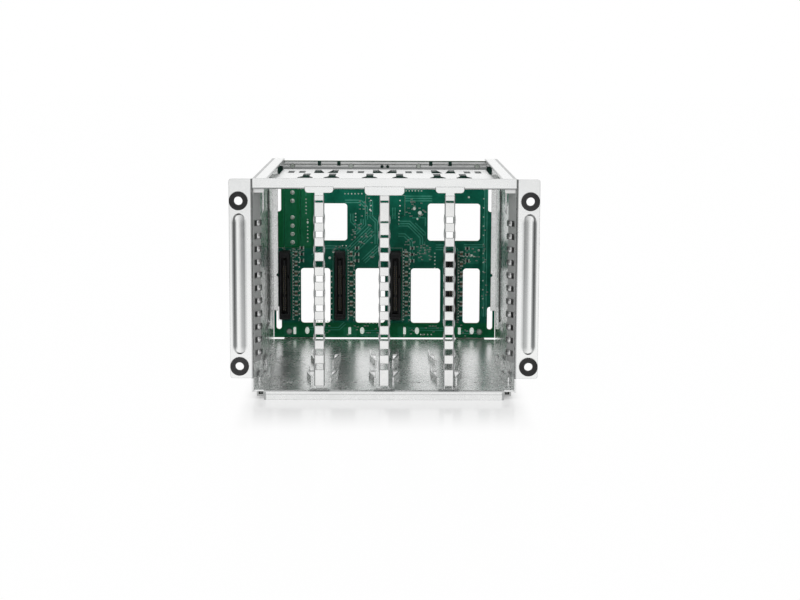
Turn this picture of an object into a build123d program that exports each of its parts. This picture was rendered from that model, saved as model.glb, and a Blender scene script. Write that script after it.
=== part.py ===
from build123d import *
import os

# Hot swap drive cage for four drives that stand on edge. Millimetres, +Z up, front face towards -Y.
# The origin is the centre of the outline on the surface that the cage rests on.

# Overall sizes
cage_width = 148.0          # over the side plates
board_depth = 180.0         # front face of the ears to the front face of the backplane
floor_rise = 5.5            # rest surface to the floor that the drives slide on
bay_height = 112.8          # floor to the underside of the ceiling
plate_rise = 5.7            # underside of the ceiling to the top of the side plates
sheet = 1.0                 # steel of the plates
bend_radius = 1.5           # outside radius of a bend

# Bays
bay_margin = 0.6            # between each side plate and the outermost bay
bay_count = 4

# Ears and their rubber grommets
ear_width = 12.0
ear_bottom = 12.3
grommet_out = 6.75          # outer face of a side plate to its grommets
grommet_drop = 12.25        # top of the side plates to the upper grommets
grommet_low = 19.0          # height of the lower grommets
grommet_outside = 10.4
grommet_bore = 4.8
grommet_neck = 8.2
grommet_flange = 1.2
bead_width = 6.3
bead_end = 6.9              # end of the bead to the middle of the grommet
bead_rise = 1.1

# Side plates
flange_width = 8.8          # inward flange along the top
rear_flange = 3.2           # inward flange that the backplane bears on
rear_flange_low = 24.1
pressing_start = 100.0      # recessed panel in each wall, depths from the front
pressing_end = 147.0
pressing_low = 20.5
pressing_drop = 8.3         # ceiling to the top of the pressed panel
pressing_corner = 8.0
pressing_rise = 1.0
pressing_taper = 45.0
wall_window = (17.0, 15.0)  # along the depth, height
wall_window_depth = 94.5
wall_window_drop = 13.3     # ceiling to the middle of the window

# Floor
floor_gap = 3.0             # the floor stops short of the backplane
lip_inset = 6.7             # outer face of a side plate to the end of each lip
tongue_width = 19.0         # tongues stand up behind the backplane
tongue_inset = 17.5         # outer face of a side plate to the middle of its tongue
tongue_rise = 9.0
seat_tabs = 4               # tabs on each side that key into the side plates
seat_tab_length = 12.0
post_slot_front = 2.4       # front edge of the slots that the posts stand in
post_slot_margin = 1.8      # beside a post in its slot
dash_length = 5.0
dash_width = 2.5

# Ceiling
ceiling_depth = 145.0
ceiling_lip = 6.0
ceiling_notch = (9.0, 43.0)  # cut out of each rear corner, width and depth
centre_lance = 9.0          # middle of the cage to the nearest openings
outer_lances = (-4.6, 11.0)  # outer posts to the openings on their two sides
lance_depth = 71.0          # bottle-shaped openings
lance_wide = 9.2
lance_narrow = 4.2
lance_mouth = 5.0
lance_step = 15.0
lance_length = 37.0
wing_back = 3.0             # tapered openings over each post, ahead of the rear edge
wing_length = 30.0
wing_spread = 7.3
wing_width = 6.6
slot_back = 14.0            # pairs of slots over each bay, ahead of the rear edge
slot_spread = 3.4
slot_size = (3.8, 18.0)

# Lanced guides, the same in floor and ceiling
guide_rise = 3.0
guide_offset = 8.4          # from the post line to the straight run
guide_lead = 3.2            # sideways reach of the lead-in
guide_lead_length = 18.0
guide_run = 20.0
guide_starts = (24.0, 80.0)
guide_slot = 2.6

# Front posts
post_width = 5.0
post_sheet = 0.5
post_leg = 5.0
post_front = 0.5            # front face of a post behind the front of the ears
foot_gap = 2.4
head_drop = 2.0             # outer heads below the ceiling
centre_head_drop = 3.3
head_width = 15.8
centre_head_width = 22.0
head_corner = 2.4
head_tab = 8.0

# Contact springs on the posts and walls
spring_sheet = 0.3
spring_fit = 0.05
spring_leg = 4.6
spring_bow = 0.4
window_pitch = 8.25
window_count = 11
window_low = 17.2           # lower edge of the lowest window
window_width = 4.4
window_height = 3.4
centre_windows = (2.7, 1.5, 0.9)  # heights of the centre post's upper windows, lowest first
bow_height = 6.2
top_slot_drop = 6.8         # ceiling to the middle of the slot at the top
top_slot_rise = 1.1
wall_pitch = 7.3
wall_low = 26.0
wall_spring_front = 2.0
wall_ramp = (7.5, 3.9)      # slope at the front of a wall spring, depth and reach
wall_return = 4.5           # depth of the slope back to the wall
wall_foot = 2.2
wall_round = 2.0            # radius of the crest
wall_head_width = 6.2       # front-facing head at the top of each wall spring
wall_head_height = 2.1
wall_spring_low = 21.0
wall_spring_drop = 1.3      # ceiling to the top of the spring
wall_window_slot = (1.6, 3.2)
wall_finger = (4.4, 5.0)    # depth where a finger leaves the slope, and its own depth
wall_finger_rise = 0.8      # reach of a finger beyond the crest
wall_finger_height = 3.2

# Rear bridge
bridge_inset = 7.6          # outer face of a side plate to the end of the bridge
bridge_drop = 7.5           # top of the side plates to the bridge's lower edge
bridge_tab = 12.0
bridge_shoulder = 4.0
bridge_bead = (2.0, 1.0)    # rolled edge along the top, height and reach
bridge_slot = (2.1, 3.4)
bridge_slot_spread = 6.3
bridge_hole = 2.0
bridge_hole_spread = 1.85
bridge_hole_rise = 2.3      # above the bridge's lower edge

# Backplane
board_thickness = 1.6
board_gap = 0.4             # bottom edge of the board above the floor
board_side_gap = 0.3
board_drop = 1.5            # top of the side plates to the top of the board
window_corner = 2.0
upper_windows = ((1, -16.8, 4.6), (3, -15.1, 19.2))  # bay from the left, edges from the middle of its socket
upper_window_low = 70.2
upper_window_high = 94.7
lower_windows = ((0, 10.4, 29.7), (1, 10.1, 29.4), (2, 10.3, 29.5), (3, 8.3, 19.3))
lower_window_low = 15.6
lower_window_high = 52.0
edge_slot_skin = 1.5        # edge of the board to the slots along it
edge_slot_width = 3.5
edge_slots = ((11.3, 26.5), (89.2, 106.0))

# Drive sockets
socket_offset = -11.0       # from the middle of each bay
socket_width = 7.2
socket_length = 44.8
socket_reach = 9.0
socket_middle = 41.4
socket_slot_width = 4.0
socket_slot_length = 37.0
socket_slot_depth = 6.5
tongue_blade = 1.3
tongue_blade_length = 33.4
socket_key = 2.0
socket_guide = 2.6

# Connectors behind the backplane
header_inset = 13.7         # outer face of the left side plate to the pins
header_pitch = 5.45
header_low = 69.0
header_ways = 7
header_blank = 5            # the way without a pin, counted from the lowest
header_width = 10.0
header_reach = 11.5
header_wall = 1.2
pin_side = 1.1
pin_reach = 8.0
solder_width = 3.0
solder_rise = 0.8
data_width = 24.0
data_height = 11.0
data_reach = 12.0
data_wall = 0.8
contact_block = 3.6         # slotted block inside the data socket
contact_rise = 2.0
data_middle = (0.5, 93.3)
data_pin_rows = (-9.5, 9.5)
data_pin_pitch = 3.4
data_pin = 0.9

# Small parts on the front of the backplane
light_offsets = (6.2, 14.4)
light_size = (1.8, 4.6, 1.6)
chip_size = (1.7, 2.9, 1.1)
chip_column = 7.2
chip_pitch = 6.6
chip_rows = 7
chip_low = 22.0
array_size = (2.6, 1.5, 0.8)
array_column = 11.0
array_rows = 3
array_pitch = 4.2
array_low = 57.0

# Fasteners
bridge_screw_inner = 22.0   # middle of the cage to the inner screws
bridge_screw_inset = 14.0   # outer face of a side plate to the outer screws
bridge_screw_rise = 2.7
tongue_screw_inset = 11.4
screw_head = 5.4
screw_head_rise = 1.8
screw_shank = 2.9
screw_recess = 1.2
screw_tip = 0.6             # thread that shows beyond its nut or plate
screw_taper = 15.0
nut_width = 4.4             # across the corners
nut_height = 1.2
rivet_head = 3.4
rivet_head_rise = 0.8
rivet_shank = 1.8
rivet_tail = 2.6
rivet_count = 3
fit = 0.1                   # clearance round shanks, tabs and pins

# Feet under the floor
skid_inset = 2.6            # outer face of a side plate to the outside of the skid
skid_width = 4.4
skid_height = 2.7
skid_length = 168.0

# Worked out from the sizes above
floor_depth = board_depth - floor_gap
overall_depth = grommet_flange + board_depth + board_thickness + data_reach
front_y = grommet_flange - overall_depth / 2
inner_width = cage_width - 2 * sheet
floor_z = floor_rise
ceiling_z = floor_z + bay_height
plate_top = ceiling_z + plate_rise
post_pitch = (inner_width - 2 * bay_margin) / bay_count
grommet_span = cage_width + 2 * grommet_out
grommet_rise = plate_top - grommet_drop - grommet_low
board_front = front_y + board_depth
board_back = board_front + board_thickness
inner_bend = bend_radius - sheet
bead_x = cage_width / 2 + ear_width / 2 + bead_rise / 2
bead_length = grommet_rise - 2 * bead_end
bead_z = grommet_low + grommet_rise / 2
post_places = [(n - bay_count / 2) * post_pitch for n in range(1, bay_count)]
bay_places = [(n - (bay_count - 1) / 2) * post_pitch for n in range(bay_count)]
window_edges = [window_low + n * window_pitch for n in range(window_count)]
window_heights = [edge + window_height / 2 for edge in window_edges]
top_slot_height = ceiling_z - top_slot_drop
wall_heights = [wall_low + n * wall_pitch for n in range(window_count)]
socket_places = [place + socket_offset for place in bay_places]
bridge_width = cage_width - 2 * bridge_inset
bridge_low = plate_top - bridge_drop
bridge_screws = (bridge_screw_inner, cage_width / 2 - bridge_screw_inset)
upper_screws = [(side * x, bridge_low + bridge_screw_rise) for side in (-1, 1) for x in bridge_screws]
tongue_screw = cage_width / 2 - tongue_screw_inset
lower_screws = [(side * tongue_screw, floor_z + tongue_rise / 2) for side in (-1, 1)]
header_place = header_inset - cage_width / 2
header_rows = [header_low + n * header_pitch for n in range(header_ways)]
pin_places = [(header_place, row) for n, row in enumerate(header_rows, 1) if n != header_blank]
side_flange_rise = plate_top - sheet - inner_bend - ceiling_z
side_flange_start = front_y + 2 * bend_radius
side_flange_length = ceiling_depth - ceiling_notch[1] - 3 * bend_radius
rivet_depths = [side_flange_start + side_flange_length * (n + 0.5) / rivet_count for n in range(rivet_count)]
rivet_height = (ceiling_z + sheet + ceiling_z + side_flange_rise) / 2
rivet_places = [(y, rivet_height) for y in rivet_depths]
data_pins = [
    (data_middle[0] + row, data_middle[1] + n * data_pin_pitch) for row in data_pin_rows for n in (-1, 0, 1)
]
grommet_places = {
    "lower_left": (-grommet_span / 2, grommet_low),
    "lower_right": (grommet_span / 2, grommet_low),
    "upper_left": (-grommet_span / 2, grommet_low + grommet_rise),
    "upper_right": (grommet_span / 2, grommet_low + grommet_rise),
}


def facing(y):
    """A plane that faces the front of the cage, with x to the right and y up."""
    return Plane.XZ.offset(-y)


def save(part, name):
    part.label = name
    export_step(part, f"parts/{name}.step")


def guide_places():
    """Each lanced guide as its straight run's x, and the side that its post lies on."""
    wall = (bay_count / 2) * post_pitch
    places = [(-wall + guide_offset / 2, -1), (wall - guide_offset / 2, 1)]
    for post in post_places:
        places += [(post - guide_offset, 1), (post + guide_offset, -1)]
    return places


def guide_outline(x, side, start):
    """Plan of one guide: a lead-in that leaves the post line, then a straight run."""
    y = front_y + start
    turn = y + guide_lead_length
    near = x + side * guide_lead
    with Locations((x, turn + guide_run / 2)):
        Rectangle(sheet, guide_run)
    corners = [(near - sheet / 2, y), (near + sheet / 2, y), (x + sheet / 2, turn), (x - sheet / 2, turn)]
    Polygon(*corners, align=None)


def guide_opening(x, side, start):
    """The opening that a guide's metal was bent out of, on the post's side of the straight run."""
    middle = front_y + start + guide_lead_length + guide_run / 2
    with Locations((x + side * (sheet + guide_slot) / 2, middle)):
        Rectangle(guide_slot, guide_run)


def lip_section(edge_y, way, end_z, sheet_z, up):
    """Section of a bent edge: a lip from end_z to the outer face of the sheet at sheet_z."""
    inner_z = sheet_z + up * sheet
    run = edge_y + way * bend_radius
    Polygon(
        (edge_y, end_z),
        (edge_y, sheet_z),
        (run, sheet_z),
        (run, inner_z),
        (edge_y + way * sheet, inner_z),
        (edge_y + way * sheet, end_z),
        align=None,
    )
    corner = vertices().sort_by(lambda v: abs(v.X - edge_y) + abs(v.Y - sheet_z))[0]
    fillet(corner, bend_radius - fit)


os.makedirs("parts", exist_ok=True)

# Base pan: the floor, its front and rear lips, guides, tongues and seat tabs
seat_pitch = floor_depth / seat_tabs
seat_places = [front_y + (n + 0.5) * seat_pitch for n in range(seat_tabs)]
post_slot_width = post_width + 2 * post_slot_margin
post_slot_depth = post_front + post_sheet + post_leg + sheet - post_slot_front
tongue_length = board_back + sheet - (front_y + floor_depth - bend_radius)
tongue_place = cage_width / 2 - tongue_inset
with BuildPart() as base_pan:
    with BuildSketch(Plane.XY.offset(floor_z - sheet)):
        run = floor_depth - 2 * bend_radius
        with Locations((0, front_y + floor_depth / 2)):
            Rectangle(inner_width, run)
        for side in (-1, 1):
            for place in seat_places:
                with Locations((side * (inner_width + sheet) / 2, place)):
                    Rectangle(sheet, seat_tab_length)
            with Locations((side * tongue_place, board_back + sheet - tongue_length / 2)):
                Rectangle(tongue_width, tongue_length)
        for post in post_places:
            with Locations((post, front_y + post_slot_front)):
                Rectangle(post_slot_width, post_slot_depth, align=(Align.CENTER, Align.MIN), mode=Mode.SUBTRACT)
        for bay in bay_places:
            with Locations((bay, front_y + guide_starts[0])):
                SlotOverall(dash_length, dash_width, mode=Mode.SUBTRACT)
        with BuildSketch(Plane.XY, mode=Mode.SUBTRACT):
            for x, side in guide_places():
                for start in guide_starts:
                    guide_opening(x, side, start)
    extrude(amount=sheet)
    for edge_y, way in ((front_y, 1), (front_y + floor_depth, -1)):
        with BuildSketch(Plane.YZ):
            lip_section(edge_y, way, 0, floor_z, -1)
        extrude(amount=cage_width / 2 - lip_inset, both=True)
    with BuildSketch(Plane.XY.offset(floor_z)):
        for x, side in guide_places():
            for start in guide_starts:
                guide_outline(x, side, start)
    extrude(amount=guide_rise)
    with BuildSketch(facing(board_back)):
        for side in (-1, 1):
            with Locations((side * tongue_place, floor_z + (tongue_rise - sheet) / 2)):
                Rectangle(tongue_width, tongue_rise + sheet)
    extrude(amount=-sheet)
    with BuildSketch(facing(board_back)):
        with Locations(*lower_screws):
            Circle(screw_shank / 2 + fit)
    extrude(amount=-sheet, mode=Mode.SUBTRACT)
save(base_pan.part, "base_pan")


def ear_bead(base_y):
    """The bead along an ear: steep outside and at its ends, falling in an arc to its inner edge."""
    inside = bead_x - bead_width / 2
    outside = bead_x + bead_width / 2
    crest = base_y - bead_rise
    with BuildPart() as bead:
        with BuildSketch(Plane.XY.offset(bead_z - bead_length / 2)):
            with BuildLine():
                Polyline((inside, base_y), (outside, base_y), (outside, crest), (outside - bead_rise, crest))
                TangentArc((outside - bead_rise, crest), (inside, base_y), tangent=(-1, 0))
            make_face()
        extrude(amount=bead_length)
        with BuildSketch(facing(base_y)):
            with Locations((bead_x, bead_z)):
                SlotOverall(bead_length, bead_width, rotation=90)
        extrude(amount=bead_rise, taper=pressing_taper, mode=Mode.INTERSECT)
    return bead.part


# Side plates: wall, ear, top flange, rear flange, pressed panel, window and tab notches
wall_x = inner_width / 2
plate_length = board_depth - bend_radius
with BuildPart() as right_plate:
    with BuildSketch(facing(front_y + bend_radius)):
        outer = cage_width / 2
        inner = outer - flange_width
        Polygon(
            (wall_x, floor_z - sheet),
            (outer, floor_z - sheet),
            (outer, plate_top),
            (inner, plate_top),
            (inner, plate_top - sheet),
            (wall_x, plate_top - sheet),
            align=None,
        )
        bends = vertices().group_by(Axis.X)[-1].sort_by(Axis.Y)[-1]
        fillet(bends, bend_radius)
        hollow = vertices().sort_by(lambda v: abs(v.X - wall_x) + abs(v.Y - (plate_top - sheet)))[0]
        fillet(hollow, inner_bend)
    extrude(amount=-plate_length)
    with BuildSketch(Plane.XY.offset(ear_bottom)):
        ear_x = cage_width / 2 + ear_width
        turn_y = front_y + bend_radius
        Polygon(
            (wall_x, turn_y),
            (wall_x, front_y),
            (ear_x, front_y),
            (ear_x, front_y + sheet),
            (cage_width / 2, front_y + sheet),
            (cage_width / 2, turn_y),
            align=None,
        )
        outer_corner = vertices().sort_by(lambda v: abs(v.X - wall_x) + abs(v.Y - front_y))[0]
        fillet(outer_corner, bend_radius - fit)
    extrude(amount=plate_top - ear_bottom)
    with BuildSketch(Plane.XY.offset(floor_z - sheet)):
        with Locations((wall_x + sheet / 2, front_y + bend_radius)):
            Rectangle(sheet, bend_radius, align=(Align.CENTER, Align.MAX))
    extrude(amount=ear_bottom - floor_z + sheet)
    ear_tips = edges().filter_by(Axis.Y).filter_by(lambda e: e.length < 2 * sheet).group_by(Axis.X)[-1]
    fillet(ear_tips, bend_radius)
    with BuildSketch(facing(front_y)):
        with Locations(*[place for place in grommet_places.values() if place[0] > 0]):
            Circle(grommet_neck / 2 + fit)
    extrude(amount=-sheet, mode=Mode.SUBTRACT)
    add(ear_bead(front_y))
    add(ear_bead(front_y + sheet), mode=Mode.SUBTRACT)
    pressing_high = ceiling_z - pressing_drop
    pressing_size = (pressing_end - pressing_start, pressing_high - pressing_low)
    pressing_centre = (front_y + (pressing_start + pressing_end) / 2, (pressing_low + pressing_high) / 2)
    with BuildSketch(Plane.YZ.offset(cage_width / 2)):
        with Locations(pressing_centre):
            RectangleRounded(*pressing_size, pressing_corner)
    extrude(amount=pressing_rise, taper=pressing_taper)
    with BuildSketch(Plane.YZ.offset(wall_x)):
        with Locations(pressing_centre):
            RectangleRounded(*[size - 2 * sheet for size in pressing_size], pressing_corner - sheet)
    extrude(amount=pressing_rise, taper=pressing_taper, mode=Mode.SUBTRACT)
    with BuildSketch(Plane.YZ.offset(wall_x)):
        with Locations((front_y + wall_window_depth - wall_window[0] / 2, ceiling_z - wall_window_drop)):
            RectangleRounded(*wall_window, window_corner)
        for place in seat_places:
            with Locations((place, floor_z - sheet / 2)):
                Rectangle(seat_tab_length + 2 * fit, sheet + 2 * fit)
        with Locations(*rivet_places):
            Circle(rivet_shank / 2 + fit)
    extrude(amount=sheet, mode=Mode.SUBTRACT)
    with BuildSketch(facing(board_front - sheet)):
        flange_rise = plate_top - sheet - bridge_shoulder - sheet - rear_flange_low
        with Locations((wall_x, rear_flange_low)):
            Rectangle(rear_flange, flange_rise, align=(Align.MAX, Align.MIN))
        with Locations((wall_x - rear_flange + fit, rear_flange_low + flange_rise / 4)):
            Circle(sheet, mode=Mode.SUBTRACT)
    extrude(amount=-sheet)
with BuildPart() as left_plate:
    add(mirror(right_plate.part, about=Plane.YZ))
save(left_plate.part, "left_side_plate")
save(right_plate.part, "right_side_plate")


def lance_opening(x):
    """A bottle-shaped opening of the ceiling, wide at the front."""
    near = front_y + lance_depth
    wide = lance_wide / 2
    narrow = lance_narrow / 2
    with BuildLine() as bottle:
        Polyline(
            (x - wide, near),
            (x + wide, near),
            (x + wide, near + lance_mouth),
            (x + narrow, near + lance_step),
            (x + narrow, near + lance_length),
            (x - narrow, near + lance_length),
            (x - narrow, near + lance_step),
            (x - wide, near + lance_mouth),
            close=True,
        )
    make_face(bottle.edges(), mode=Mode.SUBTRACT)


def wing_opening(post, side):
    """A tapered opening of the ceiling on one side of a post."""
    near = front_y + ceiling_depth - wing_back - wing_length
    outside = post + side * wing_spread
    with BuildLine() as wing:
        Polyline(
            (outside, near),
            (outside, near + wing_length),
            (outside - side * wing_width / 2, near + wing_length),
            (outside - side * wing_width, near),
            close=True,
        )
    make_face(wing.edges(), mode=Mode.SUBTRACT)


# Ceiling: guide panel with an upturned front lip, lanced openings and riveted side flanges
with BuildPart() as ceiling:
    with BuildSketch(Plane.XY.offset(ceiling_z)):
        with Locations((0, front_y + bend_radius)):
            Rectangle(inner_width, ceiling_depth - bend_radius, align=(Align.CENTER, Align.MIN))
        for side in (-1, 1):
            with Locations((side * wall_x, front_y + ceiling_depth)):
                Rectangle(2 * ceiling_notch[0], 2 * ceiling_notch[1], mode=Mode.SUBTRACT)
        for side in (-1, 1):
            lance_opening(side * centre_lance)
            for offset in outer_lances:
                lance_opening(side * (post_pitch + offset))
        for post in post_places:
            for side in (-1, 1):
                wing_opening(post, side)
        for bay in bay_places:
            for side in (-1, 1):
                with Locations((bay + side * slot_spread, front_y + ceiling_depth - slot_back)):
                    Rectangle(*slot_size, align=(Align.CENTER, Align.MAX), mode=Mode.SUBTRACT)
    extrude(amount=sheet)
    with BuildSketch(Plane.YZ):
        lip_section(front_y, 1, ceiling_z + ceiling_lip, ceiling_z, 1)
    extrude(amount=wall_x, both=True)
    for side in (-1, 1):
        with BuildSketch(Plane.XY.offset(ceiling_z)):
            with Locations((side * (wall_x - sheet / 2), side_flange_start)):
                Rectangle(sheet, side_flange_length, align=(Align.CENTER, Align.MIN))
        extrude(amount=side_flange_rise)
    with BuildSketch(Plane.YZ):
        with Locations(*rivet_places):
            Circle(rivet_shank / 2 + fit)
    extrude(amount=wall_x, both=True, mode=Mode.SUBTRACT)
    with BuildSketch(Plane.XY.offset(ceiling_z)):
        for x, side in guide_places():
            guide_outline(x, side, guide_starts[0])
    extrude(amount=-guide_rise)
    with BuildSketch(facing(front_y)):
        for post in post_places:
            width = centre_head_width if post == 0 else head_width
            with Locations((post, ceiling_z)):
                Rectangle(width + 2 * fit, 2 * bend_radius)
    extrude(amount=-(post_front + post_sheet + fit), mode=Mode.SUBTRACT)
save(ceiling.part, "ceiling_panel")

# Rear bridge: joins the side plates over the backplane
bridge_reach = wall_x - inner_bend - fit
bridge_top = plate_top - 2 * sheet
bridge_bead_height = bridge_top - bridge_bead[0] / 2
with BuildPart() as bridge:
    with BuildSketch(facing(board_front - sheet)):
        with Locations((0, bridge_low)):
            Rectangle(bridge_width, bridge_top - bridge_low, align=(Align.CENTER, Align.MIN))
        for side, inward in ((-1, Align.MIN), (1, Align.MAX)):
            with Locations((side * bridge_reach, plate_top - sheet)):
                Rectangle(bridge_shoulder, bridge_shoulder, align=(inward, Align.MAX))
        with Locations((0, plate_top - sheet - bridge_shoulder)):
            Rectangle(2 * bridge_reach, bridge_shoulder - sheet, align=(Align.CENTER, Align.MIN))
    extrude(amount=-sheet)
    with BuildSketch(Plane.XY.offset(plate_top - 2 * sheet)):
        for side in (-1, 1):
            with Locations((side * bridge_reach, board_front)):
                Rectangle(flange_width - 2 * sheet, bridge_tab, align=(Align.MAX if side > 0 else Align.MIN, Align.MAX))
    extrude(amount=sheet)
    with BuildSketch(Plane.YZ):
        with Locations((board_front - sheet, bridge_bead_height)):
            Rectangle(bridge_bead[1], bridge_bead[0], align=(Align.MAX, Align.CENTER))
        nose = vertices().group_by(Axis.X)[0]
        fillet(nose, bridge_bead[1] - 2 * fit)
    extrude(amount=bridge_width / 2, both=True)
    with BuildSketch(facing(board_front)):
        for post in post_places:
            for side in (-1, 1):
                if post == 0:
                    with Locations((side * bridge_hole_spread, bridge_low + bridge_hole_rise)):
                        Circle(bridge_hole / 2)
                else:
                    with Locations((post + side * bridge_slot_spread, bridge_bead_height)):
                        Rectangle(*bridge_slot)
        with Locations(*upper_screws):
            Circle(screw_shank / 2 + fit)
    extrude(amount=bridge_bead[1] + sheet, mode=Mode.SUBTRACT)
save(bridge.part, "rear_bridge")


def post_windows(middle):
    """Middle height and height of each window of a post; the centre post's upper ones are shallow slits."""
    rises = [window_height] * window_count
    if middle:
        rises[-len(centre_windows):] = centre_windows
    windows = [(edge + rise / 2, rise) for edge, rise in zip(window_edges, rises)]
    return windows + [(top_slot_height, top_slot_rise)]


def post_part(place, width, drop, windows):
    """One front post: a channel with a ladder of windows, a wide head and two foot tabs."""
    web_y = front_y + post_front
    foot_z = floor_z + foot_gap
    with BuildPart() as post:
        with BuildSketch(facing(web_y)):
            with Locations((place, foot_z)):
                Rectangle(post_width, ceiling_z - foot_z, align=(Align.CENTER, Align.MIN))
            with Locations((place, ceiling_z - drop)):
                Rectangle(width, drop + bend_radius - fit, align=(Align.CENTER, Align.MIN))
            low = [v for v in vertices() if abs(v.Y - (ceiling_z - drop)) < fit and abs(v.X - place) > post_width]
            fillet(low, min(head_corner, drop - fit))
        extrude(amount=-post_sheet)
        for side in (-1, 1):
            with BuildSketch(facing(web_y)):
                with Locations((place + side * (post_width - post_sheet) / 2, floor_z - sheet)):
                    Rectangle(post_sheet, ceiling_z - centre_head_drop - floor_z, align=(Align.CENTER, Align.MIN))
            extrude(amount=-(post_sheet + post_leg))
        with BuildSketch(Plane.XY.offset(ceiling_z - post_sheet)):
            with Locations((place, web_y)):
                Rectangle(post_width, head_tab, align=(Align.CENTER, Align.MIN))
        extrude(amount=post_sheet)
        with BuildSketch(facing(web_y)):
            for height, rise in windows:
                with Locations((place, height)):
                    Rectangle(window_width, rise)
        extrude(amount=-post_sheet, mode=Mode.SUBTRACT)
        with BuildSketch(facing(web_y)):
            with Locations((place, floor_z - sheet)):
                Rectangle(post_width, foot_gap + sheet, align=(Align.CENTER, Align.MIN))
        extrude(amount=-(bend_radius + sheet), mode=Mode.SUBTRACT)
    return post.part


def bowed_outline(place, half):
    """Front view of a contact spring: both edges swell beside every window."""
    low = floor_z + foot_gap
    high = ceiling_z - centre_head_drop - fit
    with BuildLine() as outline:
        for side in (-1, 1):
            edge_x = place + side * half
            last = low
            for height in window_heights:
                start = (edge_x, height - bow_height / 2)
                crest = (edge_x + side * spring_bow, height)
                end = (edge_x, height + bow_height / 2)
                Line((edge_x, last), start)
                ThreePointArc(start, crest, end)
                last = end[1]
            Line((edge_x, last), (edge_x, high))
        Line((place - half, low), (place + half, low))
        Line((place - half, high), (place + half, high))
    make_face(outline.edges())


def post_spring(place, windows):
    """The contact spring that clips over one post: a ladder with a bowed finger beside each window."""
    half = post_width / 2 + spring_fit + spring_sheet
    web_y = front_y + post_front - spring_fit - spring_sheet
    with BuildPart() as spring:
        with BuildSketch(facing(web_y)):
            bowed_outline(place, half)
        extrude(amount=-spring_leg)
        with BuildSketch(facing(web_y + spring_sheet)):
            bowed_outline(place, half - spring_sheet)
        extrude(amount=-spring_leg, mode=Mode.SUBTRACT)
        with BuildSketch(facing(web_y)):
            for height, rise in windows:
                with Locations((place, height)):
                    Rectangle(window_width, rise)
        extrude(amount=-spring_sheet, mode=Mode.SUBTRACT)
    return spring.part


post_names = ("left", "centre", "right")
for name, place in zip(post_names, post_places):
    middle = name == "centre"
    width = centre_head_width if middle else head_width
    drop = centre_head_drop if middle else head_drop
    windows = post_windows(middle)
    save(post_part(place, width, drop, windows), f"{name}_post")
    save(post_spring(place, windows), f"{name}_post_spring")


# Wall springs: sloped contact strips just behind the ears, with a raised finger beside each window
wall_skin = wall_x - spring_sheet / 2
wall_spring_high = ceiling_z - wall_spring_drop
with BuildPart() as right_spring:
    start = front_y + wall_spring_front
    crest = start + wall_ramp[0]
    back = crest + wall_return
    with BuildSketch(Plane.XY.offset(wall_spring_low)):
        with BuildLine() as slope:
            top = (wall_skin - wall_ramp[1], crest)
            FilletPolyline((wall_skin, start), top, (wall_skin, back), radius=wall_round)
        trace(slope.edges(), spring_sheet)
        with Locations((wall_x, back - spring_sheet)):
            Rectangle(spring_sheet, spring_sheet + wall_foot, align=(Align.MAX, Align.MIN))
    extrude(amount=wall_spring_high - wall_spring_low)
    with BuildSketch(facing(start + spring_sheet)):
        with Locations((wall_x - spring_sheet, ceiling_z - fit)):
            Rectangle(wall_head_width, wall_head_height, align=Align.MAX)
            corner = vertices().sort_by(lambda v: v.X + v.Y)[0]
            fillet(corner, sheet)
    extrude(amount=-spring_sheet)
    with BuildSketch(facing(start - fit)):
        for height in wall_heights:
            with Locations((wall_x - wall_window_slot[0], height)):
                Rectangle(*wall_window_slot)
    extrude(amount=-wall_ramp[0], mode=Mode.SUBTRACT)
    root = wall_skin - wall_ramp[1] * wall_finger[0] / wall_ramp[0]
    tip = wall_skin - wall_ramp[1] - wall_finger_rise + sheet / 2
    for height in wall_heights:
        with BuildSketch(Plane.XY.offset(height - wall_finger_height / 2)):
            with BuildLine() as finger:
                FilletPolyline(
                    (root, start + wall_finger[0]),
                    (tip, crest),
                    (root, crest + wall_finger[1]),
                    radius=sheet,
                )
            trace(finger.edges(), spring_sheet)
        extrude(amount=wall_finger_height)
with BuildPart() as left_spring:
    add(mirror(right_spring.part, about=Plane.YZ))
save(left_spring.part, "left_wall_spring")
save(right_spring.part, "right_wall_spring")

# Backplane board
with BuildPart() as board:
    with BuildSketch(facing(board_front)):
        half_width = wall_x - board_side_gap
        board_low = floor_z + board_gap
        board_top = plate_top - board_drop
        with Locations((0, board_low)):
            Rectangle(2 * half_width, board_top - board_low, align=(Align.CENTER, Align.MIN))
        for low, high, spans in (
            (upper_window_low, upper_window_high, upper_windows),
            (lower_window_low, lower_window_high, lower_windows),
        ):
            for bay, left, right in spans:
                with Locations((socket_places[bay] + (left + right) / 2, (low + high) / 2)):
                    RectangleRounded(right - left, high - low, window_corner, mode=Mode.SUBTRACT)
        for side in (-1, 1):
            for low, high in edge_slots:
                with Locations((side * (half_width - edge_slot_skin - edge_slot_width / 2), (low + high) / 2)):
                    SlotOverall(high - low, edge_slot_width, rotation=90, mode=Mode.SUBTRACT)
    extrude(amount=-board_thickness)
    with BuildSketch(facing(board_front)):
        with Locations(*upper_screws, *lower_screws):
            Circle(screw_shank / 2 + fit)
        with Locations(*pin_places):
            Circle(pin_side / 2 + fit)
        with Locations(*data_pins):
            Circle(data_pin / 2 + fit)
    extrude(amount=-board_thickness, mode=Mode.SUBTRACT)
save(board.part, "backplane_board")

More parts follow.
